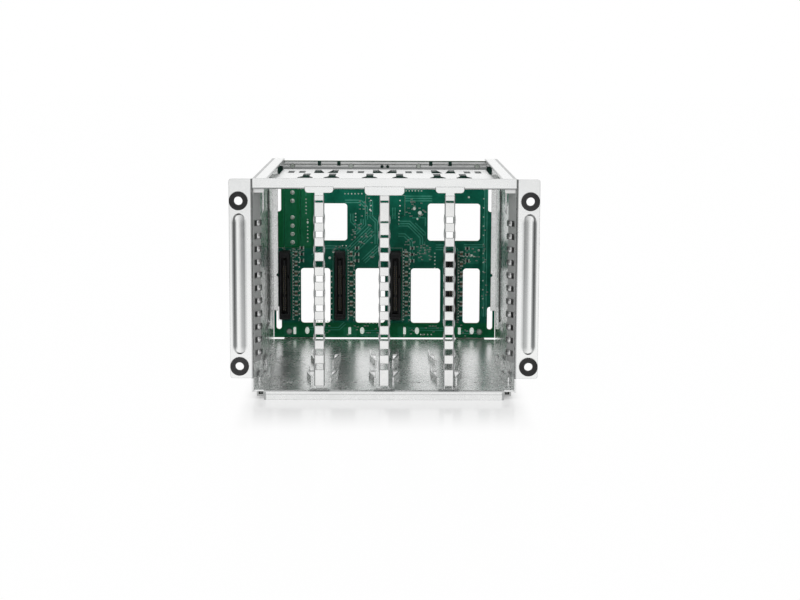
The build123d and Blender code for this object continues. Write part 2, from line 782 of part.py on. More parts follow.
# Drive sockets: a housing with end guides, a keyed mouth and the contact tongue inside
for number, place in enumerate(socket_places, 1):
    with BuildPart() as socket:
        with BuildSketch(facing(board_front)):
            with Locations((place, socket_middle)):
                RectangleRounded(socket_width, socket_length, sheet)
        extrude(amount=socket_reach)
        mouth = faces().sort_by(Axis.Y)[0]
        chamfer(mouth.edges(), sheet / 2)
        with BuildSketch(facing(board_front - socket_reach)):
            with Locations((place, socket_middle)):
                Rectangle(socket_slot_width, socket_slot_length)
            with Locations((place + socket_slot_width / 2, socket_middle + socket_slot_length / 6)):
                Rectangle(socket_key, socket_key)
        extrude(amount=-socket_slot_depth, mode=Mode.SUBTRACT)
        with BuildSketch(facing(board_front - socket_reach + socket_slot_depth)):
            with Locations((place, socket_middle)):
                Rectangle(tongue_blade, tongue_blade_length)
        extrude(amount=socket_slot_depth - sheet)
        with BuildSketch(facing(board_front)):
            for end in (-1, 1):
                with Locations((place, socket_middle + end * (socket_length - socket_guide) / 2)):
                    SlotOverall(socket_width, socket_guide)
        extrude(amount=socket_reach + sheet, taper=2)
    save(socket.part, f"drive_socket_{number}")

# Power header behind the board, with its pins soldered through from the front
header_middle = (header_rows[0] + header_rows[-1]) / 2
header_length = header_ways * header_pitch
with BuildPart() as header:
    with BuildSketch(facing(board_back)):
        with Locations((header_place, header_middle)):
            RectangleRounded(header_width, header_length, sheet)
            with Locations((header_width / 2, 0)):
                Rectangle(2 * header_wall, header_pitch)
    extrude(amount=-header_reach)
    with BuildSketch(facing(board_back + header_wall)):
        with Locations((header_place, header_middle)):
            Rectangle(header_width - 2 * header_wall, header_length - 2 * header_wall)
    extrude(amount=-header_reach, mode=Mode.SUBTRACT)
    with BuildSketch(facing(board_back)):
        with Locations(*pin_places):
            Circle(pin_side / 2 + fit)
    extrude(amount=-header_wall, mode=Mode.SUBTRACT)
save(header.part, "power_header")

with BuildPart() as pins:
    with BuildSketch(facing(board_front)):
        with Locations(*pin_places):
            Circle(pin_side / 2)
    extrude(amount=-(board_thickness + pin_reach))
    with BuildSketch(facing(board_front)):
        with Locations(*pin_places):
            Circle(solder_width / 2)
    extrude(amount=solder_rise, taper=45)
save(pins.part, "power_pins")

# Data socket behind the board: a shielded box round a slotted contact block, and its board pins
with BuildPart() as data_socket:
    with BuildSketch(facing(board_back)):
        with Locations(data_middle):
            RectangleRounded(data_width, data_height, data_wall)
    extrude(amount=-data_reach)
    with BuildSketch(facing(board_back + data_reach / 3)):
        with Locations(data_middle):
            Rectangle(data_width - 2 * data_wall, data_height - 2 * data_wall)
    extrude(amount=-data_reach, mode=Mode.SUBTRACT)
    with BuildSketch(facing(board_back + data_reach / 3)):
        with Locations(data_middle):
            Rectangle(data_width - 8 * data_wall, contact_block)
            Rectangle(data_width - 10 * data_wall, tongue_blade, mode=Mode.SUBTRACT)
    extrude(amount=-contact_rise)
    with BuildSketch(facing(board_back)):
        with Locations(*data_pins):
            Circle(data_pin / 2)
    extrude(amount=board_thickness + solder_rise / 2)
save(data_socket.part, "data_socket")

# Status lights and small parts on the front face of the board, one set for each bay
with BuildPart() as lights:
    for place in socket_places:
        for offset in light_offsets:
            with BuildSketch(facing(board_front)):
                with Locations((place + offset, floor_z + board_gap + light_size[1])):
                    RectangleRounded(light_size[0], light_size[1], light_size[0] / 4)
            extrude(amount=light_size[2])
save(lights.part, "status_lights")

with BuildPart() as capacitors:
    for place in socket_places:
        for row in range(chip_rows):
            with BuildSketch(facing(board_front)):
                with Locations((place + chip_column, chip_low + row * chip_pitch)):
                    Rectangle(chip_size[0], chip_size[1])
            extrude(amount=chip_size[2])
save(capacitors.part, "ceramic_capacitors")

with BuildPart() as arrays:
    for place in socket_places:
        for row in range(array_rows):
            with BuildSketch(facing(board_front)):
                with Locations((place + array_column, array_low + row * array_pitch)):
                    Rectangle(array_size[0], array_size[1])
            extrude(amount=array_size[2])
save(arrays.part, "resistor_arrays")

# Board screws, put in from behind: the upper ones into the bridge, the lower ones into press nuts
with BuildPart() as screws:
    seated = [(place, board_back, board_thickness + sheet + screw_tip) for place in upper_screws]
    seated += [(place, board_back + sheet, sheet + board_thickness + nut_height) for place in lower_screws]
    for place, seat, reach in seated:
        with BuildSketch(facing(seat)):
            with Locations(place):
                Circle(screw_head / 2)
        extrude(amount=-screw_head_rise, taper=screw_taper)
        with BuildSketch(facing(seat + screw_head_rise)):
            with Locations(place):
                Rectangle(screw_head / 2, screw_head / 8)
                Rectangle(screw_head / 8, screw_head / 2)
        extrude(amount=screw_recess, mode=Mode.SUBTRACT)
        with BuildSketch(facing(seat)):
            with Locations(place):
                Circle(screw_shank / 2)
        extrude(amount=reach)
save(screws.part, "board_screws")

with BuildPart() as nuts:
    with BuildSketch(facing(board_front)):
        with Locations(*lower_screws):
            RegularPolygon(nut_width / 2, 6)
            Circle(screw_shank / 2 + fit, mode=Mode.SUBTRACT)
    extrude(amount=nut_height)
save(nuts.part, "press_nuts")

# Rivets that join the side plates to the ceiling's side flanges
with BuildPart() as rivets:
    for side in (-1, 1):
        for y, z in rivet_places:
            outward = Plane(origin=(side * cage_width / 2, y, z), x_dir=(0, side, 0), z_dir=(side, 0, 0))
            with BuildSketch(outward):
                Circle(rivet_head / 2)
            extrude(amount=rivet_head_rise, taper=pressing_taper)
            with BuildSketch(outward):
                Circle(rivet_shank / 2)
            extrude(amount=-2 * sheet)
            with BuildSketch(outward.offset(-2 * sheet)):
                Circle(rivet_tail / 2)
            extrude(amount=-rivet_head_rise)
save(rivets.part, "rivets")

# Rubber grommets in the ears
for name, (x, z) in grommet_places.items():
    with BuildPart() as grommet:
        axis = Plane(origin=(x, front_y, z), x_dir=(1, 0, 0), z_dir=(0, -1, 0))
        with BuildSketch(Plane.XZ):
            bore = grommet_bore / 2
            rim = grommet_outside / 2
            neck = grommet_neck / 2
            Polygon(
                (bore, grommet_flange),
                (rim, grommet_flange),
                (rim, 0),
                (neck, 0),
                (neck, -sheet),
                (rim, -sheet),
                (rim, -sheet - grommet_flange),
                (bore, -sheet - grommet_flange),
                align=None,
            )
            tips = [v for v in vertices() if abs(abs(v.Y + sheet / 2) - sheet / 2 - grommet_flange) < fit]
            chamfer(tips, grommet_flange / 3)
        revolve(axis=Axis.Z)
    placed = grommet.part.moved(axis.location)
    save(placed, f"{name}_grommet")

# Skid strips under the floor
with BuildPart() as skids:
    for side in (-1, 1):
        outside = side * (cage_width / 2 - skid_inset)
        inside = outside - side * skid_width
        low = floor_z - sheet - skid_height
        high = floor_z - sheet
        with BuildSketch(facing(front_y + bend_radius + sheet)):
            Polygon(
                (outside, high),
                (outside, low),
                (inside, low),
                (inside, high),
                (inside + side * sheet, high),
                (inside + side * sheet, low + sheet),
                (outside - side * sheet, low + sheet),
                (outside - side * sheet, high),
                align=None,
            )
        extrude(amount=-skid_length)
save(skids.part, "skid_strips")
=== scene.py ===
import math
import bmesh
import bpy
import numpy as np
from mathutils import Matrix, Vector


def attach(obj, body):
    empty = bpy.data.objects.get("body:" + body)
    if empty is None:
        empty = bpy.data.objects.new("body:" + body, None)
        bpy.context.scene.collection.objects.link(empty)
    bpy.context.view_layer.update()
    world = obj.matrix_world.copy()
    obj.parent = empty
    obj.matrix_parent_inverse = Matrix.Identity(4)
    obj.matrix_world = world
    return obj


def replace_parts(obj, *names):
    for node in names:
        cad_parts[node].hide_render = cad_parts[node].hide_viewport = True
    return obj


# Hot swap drive cage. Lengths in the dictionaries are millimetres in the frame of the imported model, apart from the
# studio's. Scales of noise count per metre.
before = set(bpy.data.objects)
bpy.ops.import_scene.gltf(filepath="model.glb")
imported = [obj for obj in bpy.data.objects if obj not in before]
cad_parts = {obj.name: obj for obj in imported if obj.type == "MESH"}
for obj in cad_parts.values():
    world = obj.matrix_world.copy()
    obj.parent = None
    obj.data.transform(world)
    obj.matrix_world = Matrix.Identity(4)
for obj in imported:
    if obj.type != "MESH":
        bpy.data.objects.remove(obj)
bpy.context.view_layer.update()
mm = 0.001
pi = math.pi

# Edges: samples of their rounding, and the spans of a normal's lean that count as a rim and as a bend, where shade
# is painted
edges = {"samples": 6, "rim": (0.72, 0.985), "bend": (0.10, 0.46)}


class Wire:
    # One output of a node. Maths on it adds Math nodes to the same tree.
    def __init__(self, tree, socket):
        self.tree = tree
        self.socket = socket

    def maths(self, operation, first, second=0.0):
        return self.tree.node("ShaderNodeMath", {"operation": operation}, {0: first, 1: second})

    def __add__(self, other):
        return self.maths("ADD", self, other)

    def __radd__(self, other):
        return self.maths("ADD", other, self)

    def __sub__(self, other):
        return self.maths("SUBTRACT", self, other)

    def __rsub__(self, other):
        return self.maths("SUBTRACT", other, self)

    def __mul__(self, other):
        return self.maths("MULTIPLY", self, other)

    def __rmul__(self, other):
        return self.maths("MULTIPLY", other, self)

    def __lt__(self, other):
        return self.maths("LESS_THAN", self, other)

    def __abs__(self):
        return self.maths("ABSOLUTE", self)


class Tree:
    # The node tree of one finish, of the floor or of the world.
    def __init__(self, owner):
        owner.use_nodes = True
        self.nodes = owner.node_tree.nodes
        self.links = owner.node_tree.links
        self.nodes.clear()

    def node(self, kind, settings, sockets, output=0):
        # A node of one kind: its settings first, then the value or the link of each socket.
        made = self.nodes.new(kind)
        for key, value in settings.items():
            setattr(made, key, value)
        for key, value in sockets.items():
            if isinstance(value, Wire):
                self.links.new(value.socket, made.inputs[key])
            else:
                made.inputs[key].default_value = value
        return Wire(self, made.outputs[output])

    def place(self, stretch=(1, 1, 1)):
        # Object coordinates, stretched so that a pattern can run along one axis.
        spot = self.node("ShaderNodeTexCoord", {}, {}, "Object")
        return self.node("ShaderNodeMapping", {}, {"Vector": spot, "Scale": stretch})

    def noise(self, scale, detail=3.0, stretch=(1, 1, 1), roughness=0.5):
        settings = {"Vector": self.place(stretch), "Scale": scale, "Detail": detail, "Roughness": roughness}
        return self.node("ShaderNodeTexNoise", {}, settings, "Fac")

    def spread(self, value, low, high, start=0.0, end=1.0):
        # Smooth step of value from low to high, given out between start and end.
        ends = {"From Min": low, "From Max": high, "To Min": start, "To Max": end}
        return self.node("ShaderNodeMapRange", {"interpolation_type": "SMOOTHSTEP"}, {"Value": value, **ends})

    def mix(self, factor, first, second):
        # Each colour is a Wire or plain (red, green, blue); 6, 7 and output 2 are the Mix node's colour sockets.
        colours = [colour if isinstance(colour, Wire) else (*colour, 1) for colour in (first, second)]
        return self.node("ShaderNodeMix", {"data_type": "RGBA"}, {0: factor, 6: colours[0], 7: colours[1]}, 2)

    def along(self, name, source="Object"):
        # One coordinate of the given kind.
        spot = self.node("ShaderNodeTexCoord", {}, {}, source)
        return self.node("ShaderNodeSeparateXYZ", {}, {0: spot}, name)

    def axis(self, name):
        # One Object coordinate, in millimetres.
        return self.along(name) * 1000

    def within(self, value, low, high, soft):
        # 1 between low and high, falling to 0 over the soft distance outside them.
        return self.spread(value, low - soft, low) * self.spread(value, high, high + soft, 1, 0)

    def rounded(self, radius):
        # Normals that turn gently over every edge, as if it had this radius.
        return self.node("ShaderNodeBevel", {"samples": edges["samples"]}, {"Radius": radius * mm})

    def rim(self, radius):
        # 1 on edges, 0 on the flat: how far the rounded normal leans from the plain one.
        pair = {0: self.rounded(radius), 1: self.node("ShaderNodeNewGeometry", {}, {}, "Normal")}
        lean = self.node("ShaderNodeVectorMath", {"operation": "DOT_PRODUCT"}, pair, 1)
        return self.spread(lean, *edges["rim"], 1, 0)

    def bend(self):
        # 1 where the surface leans between two axes, as on bends and the flanks of beads: the mask of the painted
        # shade there.
        x, y, z = (abs(self.along(name, "Normal")) for name in "XYZ")
        return self.spread(x * y + y * z + z * x, *edges["bend"])

    def bump(self, height, strength, distance, edge=0.0):
        # Relief of the given depth in millimetres, on top of edges that are rounded by the given radius.
        sockets = {"Height": height, "Strength": strength, "Distance": distance * mm}
        if edge:
            sockets["Normal"] = self.rounded(edge)
        return self.node("ShaderNodeBump", {}, sockets)

    def surface(self, **sockets):
        # One Principled shader; an underscore in a name stands for the space in its socket's name.
        named = {key.replace("_", " "): value for key, value in sockets.items()}
        self.output(self.node("ShaderNodeBsdfPrincipled", {}, named))

    def output(self, shader, kind="ShaderNodeOutputMaterial"):
        end = self.nodes.new(kind)
        self.links.new(shader.socket, end.inputs["Surface"])


def newFinish(name):
    finish = bpy.data.materials.new(name)
    return finish, Tree(finish)


# Plated sheet: cloudy zinc with a rolled grain and faint handling marks. Its edges get a darker rim, partly the
# duller sheared edge and partly a painted shade outline, and its bends get painted shade. Edge is the radius that
# its edges are rounded by, shade the reach of their darker rim, and the bend entry the share of the cut's colour
# painted in a bend. The cut's colour is also the colour of the painted shade in the marks below.
zincLook = {"light": (0.955, 0.96, 0.955), "dull": (0.87, 0.88, 0.875), "cut": (0.26, 0.27, 0.27), "metal": 1.0,
            "gloss": 0.22, "matt": 0.34, "edge": 0.30, "shade": 0.55, "bend": 0.6, "relief": 0.014}
panLook = {**zincLook, "metal": 0.8}
# Skids: the same zinc, painted darker as the shade under the floor's edge.
shadedSkidLook = {**zincLook, "light": (0.50, 0.505, 0.50), "dull": (0.36, 0.37, 0.365)}
# Rear bridge: the same zinc, painted darker as the shade at the back of the cage.
shadedBridgeLook = {**zincLook, "light": (0.66, 0.665, 0.66), "dull": (0.44, 0.45, 0.445), "gloss": 0.30, "matt": 0.42}
springLook = {"light": (0.90, 0.90, 0.89), "dull": (0.76, 0.765, 0.76), "cut": (0.12, 0.13, 0.13), "metal": 1.0,
              "gloss": 0.13, "matt": 0.24, "edge": 0.24, "shade": 0.80, "bend": 0.5, "relief": 0.02}
wallSpringLook = {**springLook, "cut": (0.40, 0.41, 0.41), "metal": 0.55, "gloss": 0.36, "matt": 0.48}
hardwareLook = {"light": (0.80, 0.80, 0.77), "dull": (0.60, 0.61, 0.60), "cut": (0.34, 0.34, 0.33), "metal": 1.0,
                "gloss": 0.20, "matt": 0.38, "edge": 0.15, "shade": 0.2, "bend": 0.0, "relief": 0.10}
shellLook = {"light": (0.80, 0.79, 0.75), "dull": (0.66, 0.66, 0.63), "cut": (0.38, 0.38, 0.36), "metal": 1.0,
             "gloss": 0.22, "matt": 0.36, "edge": 0.15, "shade": 0.2, "bend": 0.2, "relief": 0.08}

# Painted shade where the sheet is seen darker along an edge or in a corner: the flanks of the ears' beads, the edges
# of the top flanges, the edges of the ceiling's slots (partly their duller sheared faces) and its rear, the pan's
# fold, corners and the posts' feet, the bridge's lower part and the sides of the post springs. Each mark: where x is
# counted from (0 the middle, else the nearest post too), then the spans of that distance, of y and of z, the
# softness along each, and the depth.
postPitch = 36.2
paintedShades = {"sidePlates": ((0, (82.1, 84.2), (-98.0, -95.6), (31.0, 99.5), (0.5, 0.2, 3.5), 0.85),
                             (0, (77.4, 79.0), (-98.0, -95.6), (31.0, 99.5), (1.6, 0.2, 3.5), 0.50),
                             (0, (71.5, 74.6), (-95.0, 97.0), (122.7, 124.6), (0.25, 0.2, 0.25), 0.9),
                             (0, (64.9, 65.7), (-95.0, 97.0), (122.5, 124.6), (0.3, 0.2, 0.3), 0.5)),
              "ceiling": ((0, (-1.0, 67.0), (-80.0, 60.0), (118.42, 119.12), (0.1, 0.2, 0.1), 1.0),
                          (0, (-1.0, 74.0), (34.0, 90.0), (119.25, 119.6), (0.1, 30.0, 0.1), 0.22)),
              "pan": ((0, (-1.0, 74.0), (-98.0, -94.0), (3.0, 3.3), (0.15, 0.2, 0.15), 0.35),
                      (0, (66.3, 75.0), (-98.0, -88.0), (-1.0, 4.3), (0.3, 0.2, 0.3), 0.70),
                      (postPitch, (-1.0, 5.0), (-96.5, -92.0), (4.9, 5.7), (1.5, 0.2, 0.4), 0.85)),
              "bridge": ((0, (-1.0, 74.0), (60.0, 90.0), (116.0, 118.5), (0.2, 0.2, 0.2), 0.9),),
              "postSprings": ((postPitch, (2.5, 2.85), (-98.0, -80.0), (0.0, 130.0), (0.25, 0.2, 0.25), 0.85),)}

# Layers of the plating's pattern: the noise, and the span of it that is spread out from 0 to 1
platingLayers = {"cloud": ({"scale": 42, "detail": 5, "roughness": 0.62}, (0.36, 0.66)),
                 "crystal": ({"scale": 380, "detail": 2}, (0.35, 0.65)),
                 "rubbed": ({"scale": 16, "detail": 6, "stretch": (1, 0.35, 1), "roughness": 0.7}, (0.52, 0.72))}
rolledGrain = {"scale": 900, "detail": 3, "stretch": (1, 0.04, 1)}


def platedSteel(name, look, marks=()):
    finish, tree = newFinish(name)
    cloud, crystal, rubbed = (tree.spread(tree.noise(**noise), *span) for noise, span in platingLayers.values())
    grain = tree.noise(**rolledGrain)
    shade = cloud * 0.55 + crystal * 0.25 + grain * 0.2
    colour = tree.mix(shade, look["dull"], look["light"])
    # Painted shade on bends and bead flanks
    if look["bend"]:
        colour = tree.mix(tree.bend() * look["bend"], colour, look["cut"])
    # Painted shade of the marks
    for fold, across, along, up, soft, depth in marks:
        aside = abs(tree.axis("X"))
        if fold:
            aside = aside.maths("MINIMUM", aside, abs(aside - fold))
        mark = tree.within(aside, *across, soft[0]) * tree.within(tree.axis("Y"), *along, soft[1])
        colour = tree.mix(mark * tree.within(tree.axis("Z"), *up, soft[2]) * depth, colour, look["cut"])
    # Darker rim along every edge: the duller sheared edge and a painted shade outline
    colour = tree.mix(tree.rim(look["shade"]) * 0.85, colour, look["cut"])
    rough = look["gloss"] + (look["matt"] - look["gloss"]) * (crystal * 0.35 + cloud * 0.3 + rubbed * 0.35)
    relief = tree.bump(grain * 0.5 + cloud * 0.5, look["relief"], 0.05, look["edge"])
    tree.surface(Base_Color=colour, Roughness=rough, Metallic=look["metal"], Normal=relief)
    return finish


# Green mask: teal over bare laminate, yellower over the power planes, lighter where copper lies under it, and
# painted dark at the top of the board's front as shade. A span is along x and a rise along z, each with its
# softness.
maskLook = {"deep": (0.000, 0.112, 0.066), "laminate": (0.006, 0.185, 0.115), "power": (0.004, 0.175, 0.040),
            "copper": (0.034, 0.270, 0.175), "pale": (0.100, 0.430, 0.320), "edge": (0.26, 0.27, 0.12),
            "topShade": (0.018, 0.052, 0.040), "topShadeRise": (108.0, 130.0), "topShadeSoft": 0.4, "topShadeBehind": 84.5,
            "powerSpan": (-75.0, -47.0), "powerRise": (65.5, 125.0), "powerSoft": 0.6,
            "footRise": (0.0, 15.0), "footSoft": 1.5, "footShare": 0.8}


def boardMask(name, low, high, gold):
    finish, tree = newFinish(name)
    look = maskLook
    weave = tree.noise(1500, 1, (1, 1, 0.25)) * 0.5 + tree.noise(1500, 1, (0.25, 1, 1)) * 0.5
    plane = tree.spread(tree.noise(70, 3), 0.40, 0.60)
    fine = tree.spread(tree.noise(520, 2), 0.38, 0.62)
    x, y, z = (tree.axis(axis) for axis in "XYZ")
    soft = look["powerSoft"]
    power = tree.within(x, *look["powerSpan"], soft) * tree.within(z, *look["powerRise"], soft)
    foot = tree.within(z, *look["footRise"], look["footSoft"])
    planes = power.maths("MAXIMUM", power, foot * look["footShare"])
    colour = tree.mix(plane * 0.55 + fine * 0.3 + weave * 0.15, low, high)
    colour = tree.mix(planes * gold, colour, look["power"])
    # Painted shade: the top of the board's front, below the ceiling, is darkened
    topShade = tree.within(z, *look["topShadeRise"], look["topShadeSoft"]) * (y < look["topShadeBehind"])
    colour = tree.mix(topShade, colour, look["topShade"])
    cut = abs(tree.along("Y", "Normal")) < 0.5
    colour = tree.mix(cut, colour, look["edge"])
    rough = 0.30 + 0.16 * tree.noise(120, 4) + 0.3 * cut
    relief = tree.bump(weave, 0.12, 0.03)
    tree.surface(Base_Color=colour, Roughness=rough, Specular_IOR_Level=0.10, Normal=relief)
    return finish


def mouldedPlastic(name, dark, light, gloss, matt, scale=650, edge=0.15, shine=0.25, paintedGlow=0.0):
    # Fine spark-eroded grain with slightly uneven colour; the last argument is the strength of a painted glow in
    # that colour.
    finish, tree = newFinish(name)
    grain = tree.noise(scale * 4, 2)
    cloud = tree.spread(tree.noise(scale * 0.1, 3), 0.35, 0.65)
    colour = tree.mix(cloud * 0.7 + grain * 0.3, dark, light)
    rough = gloss + (matt - gloss) * (grain * 0.6 + cloud * 0.4)
    relief = tree.bump(grain, 0.15, 0.04, edge)
    tree.surface(Base_Color=colour, Roughness=rough, Specular_IOR_Level=shine, Normal=relief,
                 Emission_Color=colour, Emission_Strength=paintedGlow)
    return finish


def solderFinish(name, dull, bright, gloss):
    # Flowed metal that is brighter in patches.
    finish, tree = newFinish(name)
    flow = tree.noise(700, 3)
    colour = tree.mix(tree.spread(flow, 0.35, 0.65), dull, bright)
    tree.surface(Base_Color=colour, Roughness=gloss + 0.2 * flow, Metallic=0.85, Normal=tree.bump(flow, 0.2, 0.08))
    return finish


zincSteel = platedSteel("zincSteel", zincLook)
shadedSkidSteel = platedSteel("shadedSkidSteel", shadedSkidLook)
sideSteel = platedSteel("sideSteel", zincLook, paintedShades["sidePlates"])
ceilingSteel = platedSteel("ceilingSteel", zincLook, paintedShades["ceiling"])
panSteel = platedSteel("panSteel", panLook, paintedShades["pan"])
shadedBridgeSteel = platedSteel("shadedBridgeSteel", shadedBridgeLook, paintedShades["bridge"])
springSteel = platedSteel("springSteel", springLook)
postSpringSteel = platedSteel("postSpringSteel", springLook, paintedShades["postSprings"])
screwSteel = platedSteel("screwSteel", {**hardwareLook, "light": (0.40, 0.43, 0.40), "dull": (0.24, 0.27, 0.24)})
nutSteel = platedSteel("nutSteel", {**hardwareLook, "light": (0.16, 0.22, 0.18), "dull": (0.08, 0.12, 0.10)})
wallSpringSteel = platedSteel("wallSpringSteel", wallSpringLook)
zincHardware = platedSteel("zincHardware", hardwareLook)
shellMetal = platedSteel("shellMetal", shellLook)
tinnedSolder = solderFinish("tinnedSolder", (0.66, 0.74, 0.66), (0.88, 0.93, 0.87), 0.34)
dullSolder = solderFinish("dullSolder", (0.32, 0.42, 0.36), (0.64, 0.72, 0.66), 0.45)
contactGold = solderFinish("contactGold", (0.30, 0.26, 0.17), (0.46, 0.40, 0.26), 0.25)
maskOverLaminate = boardMask("maskOverLaminate", maskLook["deep"], maskLook["laminate"], 0.75)
maskOverCopper = boardMask("maskOverCopper", maskLook["copper"], maskLook["pale"], 0.25)
maskOverPour = boardMask("maskOverPour", maskLook["laminate"], maskLook["copper"], 0.6)
socketPlastic = mouldedPlastic("socketPlastic", (0.006, 0.006, 0.007), (0.017, 0.018, 0.019), 0.34, 0.5)
headerNylon = mouldedPlastic("headerNylon", (0.62, 0.60, 0.52), (0.78, 0.76, 0.68), 0.34, 0.5)
# The lenses get a faint painted glow: they are not lit.
lensPlastic = mouldedPlastic("lensPlastic", (0.80, 0.88, 0.80), (0.93, 0.97, 0.93), 0.12, 0.22, shine=0.5, paintedGlow=0.4)
ceramicTan = mouldedPlastic("ceramicTan", (0.10, 0.075, 0.045), (0.20, 0.15, 0.095), 0.38, 0.55)
ceramicGrey = mouldedPlastic("ceramicGrey", (0.16, 0.17, 0.16), (0.30, 0.31, 0.29), 0.38, 0.55)
epoxyBlack = mouldedPlastic("epoxyBlack", (0.008, 0.008, 0.009), (0.024, 0.024, 0.025), 0.35, 0.55)
rubberBlack = mouldedPlastic("rubberBlack", (0.020, 0.020, 0.020), (0.060, 0.060, 0.061), 0.55, 0.78, 420, 0.3)
inkWhite = mouldedPlastic("inkWhite", (0.40, 0.50, 0.44), (0.60, 0.68, 0.62), 0.5, 0.7)
print("finishes made")

nodeFinishes = {
    zincSteel: ("left_post", "centre_post", "right_post"),
    shadedSkidSteel: ("skid_strips",),
    sideSteel: ("left_side_plate", "right_side_plate"),
    ceilingSteel: ("ceiling_panel",),
    panSteel: ("base_pan",),
    shadedBridgeSteel: ("rear_bridge",),
    postSpringSteel: ("left_post_spring", "centre_post_spring", "right_post_spring"),
    wallSpringSteel: ("left_wall_spring", "right_wall_spring"),
    zincHardware: ("rivets",),
    screwSteel: ("board_screws",),
    nutSteel: ("press_nuts",),
    maskOverLaminate: ("backplane_board",),
    socketPlastic: ("drive_socket_1", "drive_socket_2", "drive_socket_3", "drive_socket_4"),
    headerNylon: ("power_header",),
    tinnedSolder: ("power_pins",),
    shellMetal: ("data_socket",),
    lensPlastic: ("status_lights",),
    ceramicTan: ("ceramic_capacitors",),
    epoxyBlack: ("resistor_arrays",),
    rubberBlack: ("lower_left_grommet", "lower_right_grommet", "upper_left_grommet", "upper_right_grommet"),
}
for finish, names in nodeFinishes.items():
    for name in names:
        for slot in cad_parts[name].material_slots:
            slot.material = finish
print("CAD nodes finished")

# Own meshes: points nearer than this many millimetres are one, and edges past this many degrees stay sharp
meshing = {"weld": 0.0005, "sharp": 38}


def outward(corners, rings):
    # Turns the faces of a closed shape round if its volume, summed over fans of triangles, comes out negative.
    fans = np.array([(ring[0], *pair) for ring in rings for pair in zip(ring[1:], ring[2:])])
    first, second, third = (corners - corners.mean(0))[fans.T]
    volume = (first * np.cross(second, third)).sum()
    return rings if volume > 0 else [ring[::-1] for ring in rings]


def joined(shapes):
    # Stacks shapes, each its points and its faces, into one list of points and one of faces.
    points, faces, start = [], [], 0
    for corners, rings in shapes:
        rings = outward(corners, rings)
        points.append(corners)
        faces += [[corner + start for corner in ring] for ring in rings]
        start += len(corners)
    return np.concatenate(points), faces


def addPiece(name, shapes, finish, smooth=True):
    points, faces = joined(shapes)
    mesh = bpy.data.meshes.new(name)
    mesh.from_pydata((points * mm).tolist(), [], faces)
    welded = bmesh.new()
    welded.from_mesh(mesh)
    bmesh.ops.remove_doubles(welded, verts=welded.verts, dist=meshing["weld"] * mm)  # closes poles and seams
    welded.to_mesh(mesh)
    welded.free()
    mesh.materials.append(finish)
    mesh.update()
    if smooth:
        mesh.shade_smooth()
        mesh.set_sharp_from_angle(angle=math.radians(meshing["sharp"]))
    piece = bpy.data.objects.new(name, mesh)
    bpy.context.scene.collection.objects.link(piece)
    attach(piece, "root")
    return piece


def gridFaces(rows, columns):
    # Quads between neighbouring rows of a grid whose columns run round and meet.
    row, column = np.meshgrid(np.arange(rows - 1), np.arange(columns), indexing="ij")
    after = (column + 1) % columns
    quads = np.stack([row * columns + column, row * columns + after, (row + 1) * columns + after,
                      (row + 1) * columns + column], axis=-1)
    return quads.reshape(-1, 4).tolist()


def tubeFaces(rows, columns):
    # The same quads, and one face on each end.
    last = (rows - 1) * columns
    return gridFaces(rows, columns) + [list(range(columns))[::-1], list(range(last, last + columns))]


def carried(outline, stations, capped=True):
    # A closed outline (x, z) carried along y: at each station it stands at depth y, scaled about its centre.
    stations = np.asarray(stations, float)
    rows, columns = len(stations), len(outline)
    grid = np.zeros((rows, columns, 3))
    grid[..., 0] = outline[None, :, 0] * stations[:, 1, None]
    grid[..., 1] = stations[:, 0, None]
    grid[..., 2] = outline[None, :, 1] * stations[:, 2, None]
    return grid.reshape(-1, 3), tubeFaces(rows, columns) if capped else gridFaces(rows, columns)


def circle(radius, count):
    # Points (radius cos a, radius sin a) for a full turn of a.
    turn = np.arange(count) * 2 * pi / count
    return np.stack([radius * np.cos(turn), radius * np.sin(turn)], axis=1)


def roundedOutline(width, height, corner, steps=3):
    # A rectangle whose corners are quarter circles of the corner radius.
    turn = (np.arange(4)[:, None] * 0.5 + np.linspace(0, 0.5, steps)[None, :]) * pi
    middle = np.array([(1, 1), (-1, 1), (-1, -1), (1, -1)]) * (width / 2 - corner, height / 2 - corner)
    ring = middle[:, None, :] + corner * np.stack([np.cos(turn), np.sin(turn)], axis=-1)
    return ring.reshape(-1, 2)


def turned(profile, count=40):
    # A profile of (radius, y) turned about the Y axis: (radius cos a, y, radius sin a).
    profile = np.asarray(profile, float)
    return carried(circle(1.0, count), np.stack([profile[:, 1], profile[:, 0], profile[:, 0]], axis=1), False)


def moved(shape, x, y, z):
    return shape[0] + np.array([x, y, z]), shape[1]


def ribbon(path, width, base, rise, shift=0.0):
    # A flat strip along a path (x, z) on a face at depth base. Each point is set out along the mitre of its two
    # runs by shift and half the width, and the strip stands out by rise, with sloping sides.
    path = np.asarray(path, float)
    runs = np.diff(path, axis=0)
    runs /= np.linalg.norm(runs, axis=1, keepdims=True)
    sides = np.stack([-runs[:, 1], runs[:, 0]], axis=1)
    before = np.concatenate([sides[:1], sides])
    after = np.concatenate([sides, sides[-1:]])
    mitre = (before + after) / (1 + (before * after).sum(1, keepdims=True))
    slope = min(abs(rise), width / 4)
    across = np.array([-width / 2, slope - width / 2, width / 2 - slope, width / 2])
    depth = np.array([base - rise * 0.5, base + rise, base + rise, base - rise * 0.5])
    grid = np.zeros((len(path), 4, 3))
    grid[..., 0] = path[:, None, 0] + mitre[:, None, 0] * (shift + across)
    grid[..., 2] = path[:, None, 1] + mitre[:, None, 1] * (shift + across)
    grid[..., 1] = depth
    return grid.reshape(-1, 3), tubeFaces(len(path), 4)


# Fingers of the wall springs: each leaves the slope facing the front and turns back towards the board
finger = {"root": 71.0, "reach": 2.5, "front": -90.3, "depth": 3.0, "height": 3.1, "skin": 0.25, "crown": 0.25,
          "low": 26.0, "pitch": 7.3, "count": 11, "steps": 9, "levels": 7}


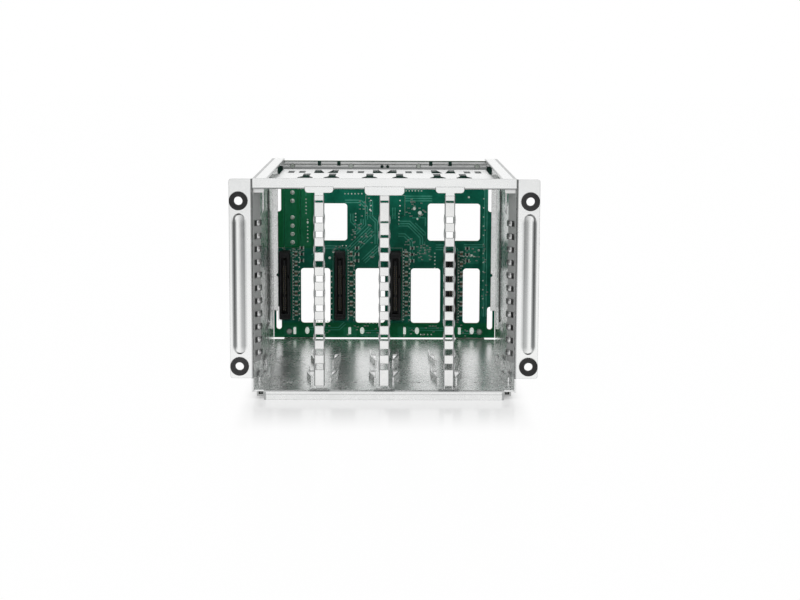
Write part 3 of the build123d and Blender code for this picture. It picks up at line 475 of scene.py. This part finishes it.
def fingerShape(height, side):
    # Quarter of an ellipse in plan, x = reach sin a and y = depth (1 - cos a), crowned over its height.
    f = finger
    turn = np.linspace(0, pi / 2, f["steps"])[:, None]
    rise = np.linspace(-0.5, 0.5, f["levels"])[None, :]
    crown = f["crown"] * (1 - 4 * rise ** 2)
    layers = []
    for skin in (0, f["skin"]):
        x = -f["root"] + (f["reach"] - skin) * np.sin(turn) + crown * np.sin(turn)
        y = f["front"] + skin + f["depth"] * (1 - np.cos(turn)) - crown * np.cos(turn)
        layers.append(np.stack([-side * x, y, height + rise * f["height"] + 0 * x], axis=-1))
    outer, inner = layers
    loop = np.concatenate([outer, inner[:, ::-1]], axis=1)
    return loop.reshape(-1, 3), tubeFaces(f["steps"], 2 * f["levels"])


for name, side in (("left", -1), ("right", 1)):
    shapes = [fingerShape(finger["low"] + n * finger["pitch"], side) for n in range(finger["count"])]
    addPiece(f"{name}_spring_fingers", shapes, springSteel)
print("spring fingers made")

# Grommets: moulded rings with rounded lips that sit in the ears. The dish is sunk in the front face, between
# two pairs of radii counted from the bore and from the rim.
grommet = {"places": ((-80.75, 19.0), (80.75, 19.0), (-80.75, 111.75), (80.75, 111.75)),
           "names": ("lower_left", "lower_right", "upper_left", "upper_right"),
           "front": -96.2, "sheet": 1.0, "bore": 2.4, "rim": 5.2, "neck": 4.1, "flange": 1.2, "round": 0.42,
           "dish": 0.22, "dishBore": (0.9, 1.25), "dishRim": (1.1, 0.8)}


def grommetProfile():
    # Half section from the bore round both flanges; each lip is a quarter circle.
    g = grommet
    turn = np.linspace(0, pi / 2, 6)
    front, back = g["front"] - g["flange"], g["front"] + g["sheet"] + g["flange"]
    soft, sunk = g["round"], front + g["dish"]
    bore = np.stack([g["bore"] + soft - soft * np.cos(turn), front + soft - soft * np.sin(turn)], axis=1)
    dish = [(g["bore"] + g["dishBore"][0], front), (g["bore"] + g["dishBore"][1], sunk),
            (g["rim"] - g["dishRim"][0], sunk), (g["rim"] - g["dishRim"][1], front)]
    lip = np.stack([g["rim"] - soft + soft * np.sin(turn), front + soft - soft * np.cos(turn)], axis=1)
    neck = [(g["rim"], g["front"]), (g["neck"], g["front"]), (g["neck"], g["front"] + g["sheet"]),
            (g["rim"], g["front"] + g["sheet"])]
    backLip = np.stack([g["rim"] - soft + soft * np.cos(turn), back - soft + soft * np.sin(turn)], axis=1)
    backBore = np.stack([g["bore"] + soft - soft * np.sin(turn), back - soft + soft * np.cos(turn)], axis=1)
    return np.concatenate([bore, dish, lip, neck, backLip, backBore, bore[:1]])


for name, (x, z) in zip(grommet["names"], grommet["places"]):
    moulding = moved(turned(grommetProfile()), x, 0, z)
    ring = addPiece(f"{name}_grommet_ring", [moulding], rubberBlack)
    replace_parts(ring, f"{name}_grommet")
print("grommets turned")

# Backplane: copper under the mask, as raised strips on both faces of the board, and as slabs on its front
board = {"front": 83.8, "back": 85.4, "rise": 0.05, "pitch": 1.55, "track": 0.75, "pourSunk": 0.02,
         "pourRise": 0.03}
boardFront = board["front"]

bundles = (  # path of the middle track (x, z), number of tracks
    (((-8.0, 77.5), (-22.5, 63.0), (-22.5, 57.0)), 5),
    (((-14.0, 84.5), (-14.0, 81.0), (-20.0, 75.0)), 3),
    (((-26.0, 96.0), (-15.8, 96.0), (-12.0, 92.2), (-12.0, 84.0)), 2),
    (((-8.8, 97.0), (-8.8, 86.0), (-5.5, 82.7), (-5.5, 68.0)), 2),
    (((13.5, 98.0), (31.0, 98.0)), 3),
    (((9.0, 81.5), (16.0, 81.5), (24.8, 72.7), (24.8, 67.5)), 3),
    (((9.0, 74.0), (13.0, 74.0), (17.5, 69.5), (17.5, 58.0)), 2),
    (((18.0, 85.4), (26.6, 85.4), (26.6, 80.0)), 1),
    (((33.5, 66.0), (44.0, 66.0), (47.0, 63.0), (47.0, 58.0)), 3),
    (((52.0, 67.0), (66.0, 67.0)), 2),
    (((66.2, 112.0), (66.2, 20.0)), 2),
    (((-22.0, 110.5), (-9.0, 110.5)), 3),
    (((-6.0, 105.5), (20.0, 105.5), (26.0, 111.5), (60.0, 111.5)), 3),
    (((-51.5, 113.0), (-51.5, 99.5)), 1),
    (((-68.0, 62.0), (-60.0, 62.0)), 1),
    (((-52.0, 11.8), (-30.0, 11.8), (-26.0, 15.5)), 2),
    (((-16.0, 9.0), (4.0, 9.0)), 3),
    (((16.0, 11.5), (40.0, 11.5), (44.0, 15.0)), 2),
    (((49.5, 9.5), (62.0, 9.5)), 2),
    (((-33.8, 57.0), (-33.8, 16.0)), 1),
    (((-4.0, 66.0), (-14.0, 56.5)), 3),
    (((-21.5, 88.0), (-21.5, 83.0), (-16.0, 77.5)), 2),
    (((-47.5, 60.0), (-38.5, 66.0), (-28.0, 66.0)), 2),
    (((6.0, 92.0), (6.0, 84.5)), 2),
    (((20.0, 82.0), (26.5, 75.5), (26.5, 69.0)), 1),
    (((2.4, 56.0), (2.4, 17.0)), 1),
    (((38.2, 56.0), (38.2, 17.0)), 1),
)
backBundles = (
    (((-60.0, 98.0), (-20.0, 98.0), (-12.0, 106.0), (18.0, 106.0)), 4),
    (((-68.0, 58.0), (-40.0, 58.0), (-34.0, 64.0), (22.0, 64.0)), 4),
    (((10.5, 88.0), (10.5, 66.0), (6.0, 61.5), (6.0, 20.0)), 3),
    (((-29.0, 60.0), (-29.0, 14.0), (-26.0, 11.0), (60.0, 11.0)), 3),
    (((43.5, 57.0), (43.5, 22.0)), 4),
    (((-64.0, 56.0), (-64.0, 18.0), (-60.0, 13.0), (-34.0, 13.0)), 2),
)
pours = (  # left, low, right, high, radius of the corners
    (-66.6, 66.4, -57.6, 112.6, 0.8),
    (-55.8, 66.4, -48.0, 104.0, 1.4),
    (-66.4, 6.6, -57.5, 13.8, 0.8),
    (-34.9, 60.4, -30.0, 66.0, 0.6),
    (21.5, 56.5, 30.0, 66.5, 1.0),
    (53.0, 55.0, 62.0, 66.0, 1.2),
    (-48.0, 6.6, -38.0, 14.6, 1.2),
    (-27.0, 6.6, -18.0, 13.0, 1.2),
    (8.6, 6.6, 17.0, 13.4, 1.2),
    (64.0, 20.0, 65.2, 88.0, 0.5),
)


def trackStrips(paths, y, rise):
    # The tracks of each bundle, side by side about its middle.
    return [ribbon(path, board["track"], y, rise, (n - (count - 1) / 2) * board["pitch"])
            for path, count in paths for n in range(count)]


def slab(left, low, right, high, corner, base, top):
    # A rounded plate between two depths, with its outer edge sloped in by its own rise.
    width, height = right - left, high - low
    lean = abs(base - top) * 2
    stations = [(base, 1, 1), (top, 1 - lean / width, 1 - lean / height)]
    return moved(carried(roundedOutline(width, height, corner), stations), (left + right) / 2, 0, (low + high) / 2)


addPiece("front_tracks", trackStrips(bundles, boardFront, -board["rise"]), maskOverCopper)
addPiece("back_tracks", trackStrips(backBundles, board["back"], board["rise"]), maskOverCopper)
pourSlabs = [slab(*pour, boardFront + board["pourSunk"], boardFront - board["pourRise"]) for pour in pours]
addPiece("copper_pours", pourSlabs, maskOverPour, False)
print("tracks laid")

# Small parts on the board: a body between two tinned ends, standing on tinned pads. Sizes are width, height and
# rise, aside is from a socket's middle, and empty is the share of places in the columns that hold nothing.
socketPlaces = (-65.3, -29.1, 7.1, 43.3)
draws = np.random.default_rng(11)
parts = {
    "capacitors": {"aside": 7.2, "low": 22.0, "pitch": 6.6, "count": 7, "size": (1.7, 2.9, 1.1)},
    "arrays": {"aside": 11.0, "low": 57.0, "pitch": 4.2, "count": 3, "size": (1.5, 2.6, 0.8)},
    "tiny": (0.55, 1.0, 0.35), "grid": 0.65, "empty": 0.25,
    "columns": ((5.0, 20, 2.15), (8.9, 22, 1.95)),      # aside, rows, pitch
    "columnLow": 17.5, "columnEnd": 51.0,
    # left, low, right, high, number
    "strays": ((-68.0, 59.0, -52.0, 65.5, 18), (-34.5, 60.0, -24.0, 67.0, 14), (-22.0, 68.0, -8.0, 82.0, 28),
               (-16.5, 86.0, -9.5, 99.0, 12), (10.0, 60.0, 20.0, 72.0, 18), (14.0, 86.0, 27.0, 100.0, 22),
               (20.0, 56.0, 31.0, 68.0, 26), (50.0, 55.0, 66.0, 66.0, 20), (48.0, 14.0, 51.0, 54.0, 10),
               (-53.0, 7.0, -36.0, 14.0, 12), (-26.0, 7.0, -2.0, 14.0, 14), (12.0, 7.0, 36.0, 14.0, 14),
               (48.0, 7.0, 60.0, 14.0, 8), (-10.0, 58.0, 0.0, 67.0, 8), (64.0, 30.0, 68.0, 84.0, 8)),
}
# Shares of a part's own size, apart from the pads' rise and how far they are sunk, in millimetres
chip = {"slope": 0.2, "straight": 0.7, "body": 0.55, "end": 0.24, "endPlace": 0.38, "endWidth": 1.02,
        "endRise": 1.03, "padPlace": 1.15, "padAcross": 1.2, "padUp": 1.5, "padRise": 0.07, "padSunk": 0.01}


def block(x, z, width, height, rise, base):
    # A little block: straight sides, then a sloped edge round its top face.
    outline = np.array([(1, 1), (-1, 1), (-1, -1), (1, -1)]) * (width / 2, height / 2)
    lean = min(width, height) * chip["slope"]
    stations = [(base, 1, 1), (base - rise * chip["straight"], 1, 1),
                (base - rise, 1 - lean / width, 1 - lean / height)]
    return moved(carried(outline, stations), x, 0, z)


def partShapes(places, size, upright):
    # Bodies, tinned ends and pads for parts of one size; an upright one has its ends above and below.
    width, height, rise = size
    order = 1 if upright else -1
    bodies, ends, pads = [], [], []
    for x, z in places:
        for side in (-1, 1):
            dx, dz = (0, side * height * chip["endPlace"])[::order]
            across, up = (width * chip["endWidth"], height * chip["end"])[::order]
            ends.append(block(x + dx, z + dz, across, up, rise * chip["endRise"], boardFront))
            pads.append(block(x + dx * chip["padPlace"], z + dz * chip["padPlace"], across * chip["padAcross"],
                              up * chip["padUp"], chip["padRise"], boardFront + chip["padSunk"]))
        across, up = (width, height * chip["body"])[::order]
        bodies.append(block(x, z, across, up, rise, boardFront))
    return bodies, ends, pads


def columnShapes(kind, upright):
    # Parts of one kind in a column beside each socket.
    places = [(place + kind["aside"], kind["low"] + row * kind["pitch"]) for place in socketPlaces
              for row in range(kind["count"])]
    return partShapes(places, kind["size"], upright)


bodies, ends, pads = columnShapes(parts["capacitors"], True)
capacitors = addPiece("capacitor_bodies", bodies, ceramicTan, False)
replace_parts(capacitors, "ceramic_capacitors")
arrayBodies, arrayEnds, arrayPads = columnShapes(parts["arrays"], False)
arrays = addPiece("array_bodies", arrayBodies, epoxyBlack, False)
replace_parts(arrays, "resistor_arrays")
tinyUpright = [(place + aside, parts["columnLow"] + row * pitch) for place in socketPlaces
               for aside, rows, pitch in parts["columns"] for row in range(rows)
               if draws.random() > parts["empty"] and place + aside < parts["columnEnd"]]
tinyLying = []
for left, low, right, high, count in parts["strays"]:
    spots = draws.random((count, 2)) * (right - left, high - low) + (left, low)
    tinyLying += [tuple(spot) for spot in np.round(spots / parts["grid"]) * parts["grid"]]
darkTiny, darkEnds, darkPads = partShapes(tinyUpright, parts["tiny"], True)
greyTiny, greyEnds, greyPads = partShapes(tinyLying, parts["tiny"], False)
addPiece("tiny_resistors", darkTiny, epoxyBlack, False)
addPiece("tiny_capacitors", greyTiny, ceramicGrey, False)
addPiece("part_ends", ends + arrayEnds + darkEnds + greyEnds, dullSolder, False)
addPiece("part_pads", pads + arrayPads + darkPads + greyPads, dullSolder, False)
print("small parts placed")

# Closed front ends of the skids, set back a little in each channel
skidEnd = {"middle": 69.2, "z": 3.62, "width": 2.5, "height": 1.75, "corner": 0.1, "front": -93.3, "thick": 0.8}
wide, high = skidEnd["width"] / 2, skidEnd["height"] / 2
endSlab = slab(-wide, -high, wide, high, skidEnd["corner"], skidEnd["front"] + skidEnd["thick"], skidEnd["front"])
skidEnds = [moved(endSlab, side * skidEnd["middle"], 0, skidEnd["z"]) for side in (-1, 1)]
addPiece("skid_ends", skidEnds, shadedSkidSteel, False)

# Vias and test pads
viaRows = (  # x, z of the first, step, number
    (-51.4, 97.3, (0, -2.3), 5), (-50.4, 84.0, (0, -2.4), 7), (-55.0, 108.0, (1.9, 0), 3),
    (-26.0, 101.0, (2.2, 0), 6), (-19.0, 88.0, (0, -2.2), 5), (-30.0, 66.8, (2.4, 0), 4),
    (14.0, 103.0, (2.0, 0), 6), (9.3, 88.0, (0, -2.2), 4), (33.0, 62.0, (0, -2.4), 5),
    (52.0, 60.0, (2.2, 0), 4), (64.8, 104.0, (0, -6.0), 14), (-44.0, 16.6, (2.2, 0), 4),
    (-12.0, 15.6, (2.3, 0), 5), (24.0, 8.0, (2.3, 0), 4), (-70.5, 44.0, (0, -4.0), 6),
    (-59.9, 63.0, (0, -2.05), 23), (-56.0, 62.0, (0, -3.1), 15), (-23.7, 62.0, (0, -2.05), 22),
    (-19.9, 60.0, (0, -3.1), 14), (12.5, 63.0, (0, -2.05), 23), (16.4, 61.0, (0, -3.1), 15),
    (48.7, 63.0, (0, -2.05), 23), (-34.8, 50.0, (0, -3.6), 10),
)
viaShape = ((0.16, 0.01), (0.16, -0.05), (0.42, -0.05), (0.46, 0.01), (0.16, 0.01))     # radius, depth
padShape = ((0, -0.06), (0.9, -0.06), (1, 0.01), (0, 0.01))     # share of the pad's radius, depth
testPads = (  # x, z, radius
    (19.4, 91.4, 1.1), (23.0, 88.6, 1.3), (21.4, 84.6, 0.7), (-50.4, 82.3, 0.7), (61.8, 64.0, 0.8),
    (57.2, 60.7, 0.8), (-36.0, 58.8, 0.9), (-33.7, 62.8, 0.8), (-9.6, 90.6, 0.7), (55.0, 99.0, 0.7),
)
vias = [moved(turned(viaShape, 10), x + dx * n, boardFront, z + dz * n)
        for x, z, (dx, dz), count in viaRows for n in range(count)]
vias += [moved(turned([(radius * share, y) for share, y in padShape], 16), x, boardFront, z)
         for x, z, radius in testPads]
addPiece("vias_and_pads", vias, tinnedSolder)

# White outlines printed round the sockets and round two connectors, without any words
ink = {"line": 0.22, "rise": 0.03, "aside": 4.6, "above": 24.0, "middle": 41.4,
       "connectors": ((-65.6, 65.4, -55.0, 105.4), (-12.4, 86.6, 13.2, 100.0))}      # left, low, right, high


def inkFrame(left, low, right, high):
    corners = ((left, low), (right, low), (right, high), (left, high), (left, low), (right, low))
    return ribbon(corners, ink["line"], boardFront, -ink["rise"])


frames = [inkFrame(place - ink["aside"], ink["middle"] - ink["above"], place + ink["aside"],
                   ink["middle"] + ink["above"]) for place in socketPlaces]
frames += [inkFrame(*sides) for sides in ink["connectors"]]
addPiece("printed_outlines", frames, inkWhite, False)

# Contacts of the drive sockets, in two groups on both sides of each tongue: their number, and the lowest one's
# height from the middle
contacts = {"groups": ((7, -15.9), (15, -5.4)), "pitch": 1.27, "middle": 41.4, "tongue": 0.65, "tip": 75.9,
            "root": 82.2, "width": 0.55, "skin": 0.12, "bow": 0.132, "steps": 7, "tailAside": 1.27}


def contactPlaces(step=1):
    # x and z of every contact of a group, or of every step-th one.
    return [(place, contacts["middle"] + low + n * contacts["pitch"]) for place in socketPlaces
            for count, low in contacts["groups"] for n in range(0, count, step)]


def contactStrip(x, z, side):
    # A thin strip on the tongue that bows out by a half sine between its tip and its root.
    c = contacts
    run = np.linspace(0, 1, c["steps"])[:, None]
    grid = np.zeros((c["steps"], 4, 3))
    grid[..., 0] = x + side * (c["tongue"] + c["bow"] * np.sin(pi * run) + c["skin"] * np.array([0, 0, 1, 1]))
    grid[..., 1] = c["tip"] + (c["root"] - c["tip"]) * run
    grid[..., 2] = z + c["width"] / 2 * np.array([-1, 1, 1, -1])
    return grid.reshape(-1, 3), tubeFaces(c["steps"], 4)


strips = [contactStrip(x, z, side) for x, z in contactPlaces() for side in (-1, 1)]
addPiece("socket_contacts", strips, contactGold, False)

# Tails of the sockets, soldered on the back of the board
tail = ((0, 1.5), (0.22, 1.45), (0.28, 0.7), (0.5, 0.25), (0.75, 0.03), (0.8, -0.01), (0, -0.01))  # radius, height
tails = [moved(turned(tail, 10), x + side * contacts["tailAside"], board["back"], z)
         for x, z in contactPlaces(2) for side in (-1, 1)]
addPiece("socket_tails", tails, tinnedSolder)

# Soldered pins of the power header: a cone of solder round each pin, and its blade inside the header
pinRow = {"x": -60.3, "low": 69.0, "pitch": 5.45, "ways": (0, 1, 2, 3, 5, 6), "tip": 82.2, "cone": 82.7,
          "end": 93.4, "radius": 0.55, "foot": 1.5, "curve": 1.7}


def pinProfile():
    # Half section from the tip: a rounded end, the cone, whose radius and depth grow as powers, and the blade.
    p = pinRow
    t = np.linspace(0, 1, 7)
    radii = p["radius"] + (p["foot"] - p["radius"]) * t ** p["curve"]
    depths = p["cone"] + (boardFront - p["cone"]) * (1 - (1 - t) ** p["curve"])
    tip = [(0, p["tip"]), (0.42, p["tip"] + 0.1), (p["radius"], p["tip"] + 0.35)]
    blade = [(p["foot"], boardFront + 0.01), (p["radius"], boardFront + 0.02), (p["radius"], p["end"] - 0.6),
             (0.25, p["end"]), (0, p["end"])]
    return np.concatenate([tip, np.stack([radii, depths], axis=1), blade])


pins = [moved(turned(pinProfile(), 20), pinRow["x"], 0, pinRow["low"] + way * pinRow["pitch"])
        for way in pinRow["ways"]]
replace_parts(addPiece("soldered_pins", pins, tinnedSolder), "power_pins")
print("contacts and pins made")

# Status lights: a bar lens and a domed lens under each socket. Each: aside, z, width and height (the dome's are
# radii), and rise.
lights = {"bar": (6.2, 10.5, 1.8, 4.6, 1.6), "corner": 0.45, "dome": (14.4, 10.5, 1.45, 2.3, 1.6)}
barStations = ((0, 1, 1), (0.6, 1, 1), (0.9, 0.9, 0.96), (1, 0.7, 0.88))     # share of the rise, scales


def dome(x, z, wide, high, rise):
    # Half of an ellipsoid on the board, from its rim to its pole.
    lean = np.linspace(0, pi / 2, 8)[:-1]
    stations = np.stack([boardFront - rise * np.sin(lean), np.cos(lean), np.cos(lean)], axis=1)
    stations = np.concatenate([[(boardFront + 0.01, 1, 1)], stations])
    return moved(carried(circle(1.0, 20) * (wide, high), stations), x, 0, z)


lenses = []
for place in socketPlaces:
    aside, z, width, height, rise = lights["bar"]
    stations = [(boardFront - rise * share, *scales) for share, *scales in barStations]
    lenses.append(moved(carried(roundedOutline(width, height, lights["corner"]), stations), place + aside, 0, z))
    aside, z, wide, high, rise = lights["dome"]
    lenses.append(dome(place + aside, z, wide, high, rise))
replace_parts(addPiece("light_lenses", lenses, lensPlastic), "status_lights")
print("lights made")

# Studio: white surroundings with darker sides, soft lamps (place, power, size), a pale floor, and the camera.
# Metres, but for the spans and soft edges of shades on the floor and the lens, which are millimetres; radians.
studio = {"surround": 0.50, "sides": (0.30, 0.90, 0.66), "floorSides": (120.0, 460.0), "floorSize": 12.0,
          "glow": {"open": 0.985, "front": 0.52, "under": 0.30}, "footprint": ((-70.0, 70.0), (-88.0, 78.0), 8.0),
          "frontFade": (-185.0, -110.0), "frontSoft": 12.0, "backFade": (-60.0, 40.0),
          "lamps": (((-1.1, -1.7, 1.7), 16.0, 1.3), ((1.5, -1.2, 1.1), 8.0, 1.2), ((0.2, 1.4, 1.6), 7.0, 1.2)),
          "aim": (0, 0, 0.05)}
cameraSetup = {"place": (0.000725, -1.0757, 0.196855), "lens": 80.004, "sensor": 36,
               "yaw": 0.0082, "pitch": -0.1421, "roll": 0.0039, "clip": (0.01, 50)}


def seenRays(tree):
    # 1 for the camera, for mirror reflections and for what is seen through glass.
    seen = 0.0
    for name in ("Camera", "Glossy", "Transmission"):
        ray = tree.node("ShaderNodeLightPath", {}, {}, f"Is {name} Ray")
        seen = ray.maths("MAXIMUM", ray, seen)
    return seen


def addWorld():
    # White where it is seen, with its left and right sides darker to mirror reflections, as flags do in a studio.
    world = bpy.data.worlds.new("studio")
    bpy.context.scene.world = world
    tree = Tree(world)
    start, end, depth = studio["sides"]
    flag = tree.spread(abs(tree.along("X", "Generated")), start, end) * depth
    mirrored = tree.node("ShaderNodeLightPath", {}, {}, "Is Glossy Ray")
    strength = studio["surround"] + seenRays(tree) * (1 - studio["surround"]) - mirrored * flag
    background = tree.node("ShaderNodeBackground", {}, {"Color": (1, 1, 1, 1), "Strength": strength})
    tree.output(background, "ShaderNodeOutputWorld")


def addLamps():
    for n, (place, power, size) in enumerate(studio["lamps"], 1):
        lamp = bpy.data.lights.new(f"softLamp{n}", "AREA")
        lamp.energy, lamp.size = power, size
        holder = bpy.data.objects.new(f"softLamp{n}", lamp)
        aim = Vector(studio["aim"]) - Vector(place)
        holder.matrix_world = Matrix.Translation(place) @ aim.to_track_quat("-Z", "Y").to_matrix().to_4x4()
        holder.visible_glossy = False
        bpy.context.scene.collection.objects.link(holder)


def addFloor():
    # A flat square at z = 0: white to the camera, apart from the shadow under the cage and a reflection before it,
    # and dark at its sides to mirror reflections, like the world.
    side = np.array([-0.5, 0.5]) * studio["floorSize"]
    x, y = np.meshgrid(side, side)
    mesh = bpy.data.meshes.new("floor")
    mesh.from_pydata(np.stack([x, y, 0 * x], axis=-1).reshape(-1, 3).tolist(), [], [[0, 1, 3, 2]])
    finish, tree = newFinish("paleFloor")
    speck = tree.noise(300, 2)
    pale = tree.mix(speck, (0.86, 0.86, 0.86), (0.9, 0.9, 0.9))
    sheen = tree.node("ShaderNodeBsdfPrincipled", {}, {"Base Color": pale, "Roughness": 0.10 + 0.04 * speck})
    across, along, soft = studio["footprint"]
    x, y = tree.axis("X"), tree.axis("Y")
    aside = tree.spread(abs(x), *studio["floorSides"]) * tree.node("ShaderNodeLightPath", {}, {}, "Is Glossy Ray")
    dim = (1 - studio["sides"][2],) * 3
    white = tree.node("ShaderNodeEmission", {}, {"Color": tree.mix(aside, (1, 1, 1), dim), "Strength": 1.0})
    under = tree.within(x, *across, soft) * tree.within(y, *along, soft)
    before = tree.spread(y, *studio["frontFade"]) * tree.within(x, *across, studio["frontSoft"])
    before = before * tree.spread(y, *studio["backFade"], 1, 0)
    glow = studio["glow"]
    share = glow["open"] - (glow["open"] - glow["front"]) * before
    share = share - (glow["front"] - glow["under"]) * under
    share = share.maths("MAXIMUM", seenRays(tree) * share, aside)
    tree.output(tree.node("ShaderNodeMixShader", {}, {0: share, 1: sheen, 2: white}))
    mesh.materials.append(finish)
    floor = bpy.data.objects.new("floor", mesh)
    bpy.context.scene.collection.objects.link(floor)


def addCamera():
    # Looks along (sin yaw cos pitch, cos yaw cos pitch, sin pitch) and leans about that line by roll.
    yaw, pitch, roll = cameraSetup["yaw"], cameraSetup["pitch"], cameraSetup["roll"]
    ahead = Vector((math.sin(yaw) * math.cos(pitch), math.cos(yaw) * math.cos(pitch), math.sin(pitch)))
    level = Vector((math.cos(yaw), -math.sin(yaw), 0))
    upright = level.cross(ahead)
    right = level * math.cos(roll) + upright * math.sin(roll)
    top = upright * math.cos(roll) - level * math.sin(roll)
    camera = bpy.data.cameras.new("camera")
    camera.lens, camera.sensor_width = cameraSetup["lens"], cameraSetup["sensor"]
    camera.clip_start, camera.clip_end = cameraSetup["clip"]
    holder = bpy.data.objects.new("camera", camera)
    turn = Matrix((right, top, -ahead)).transposed().to_4x4()
    holder.matrix_world = Matrix.Translation(cameraSetup["place"]) @ turn
    bpy.context.scene.collection.objects.link(holder)
    bpy.context.scene.camera = holder


addWorld()
addLamps()
addFloor()
addCamera()
bpy.context.scene.view_settings.view_transform = "Standard"
print("studio set")
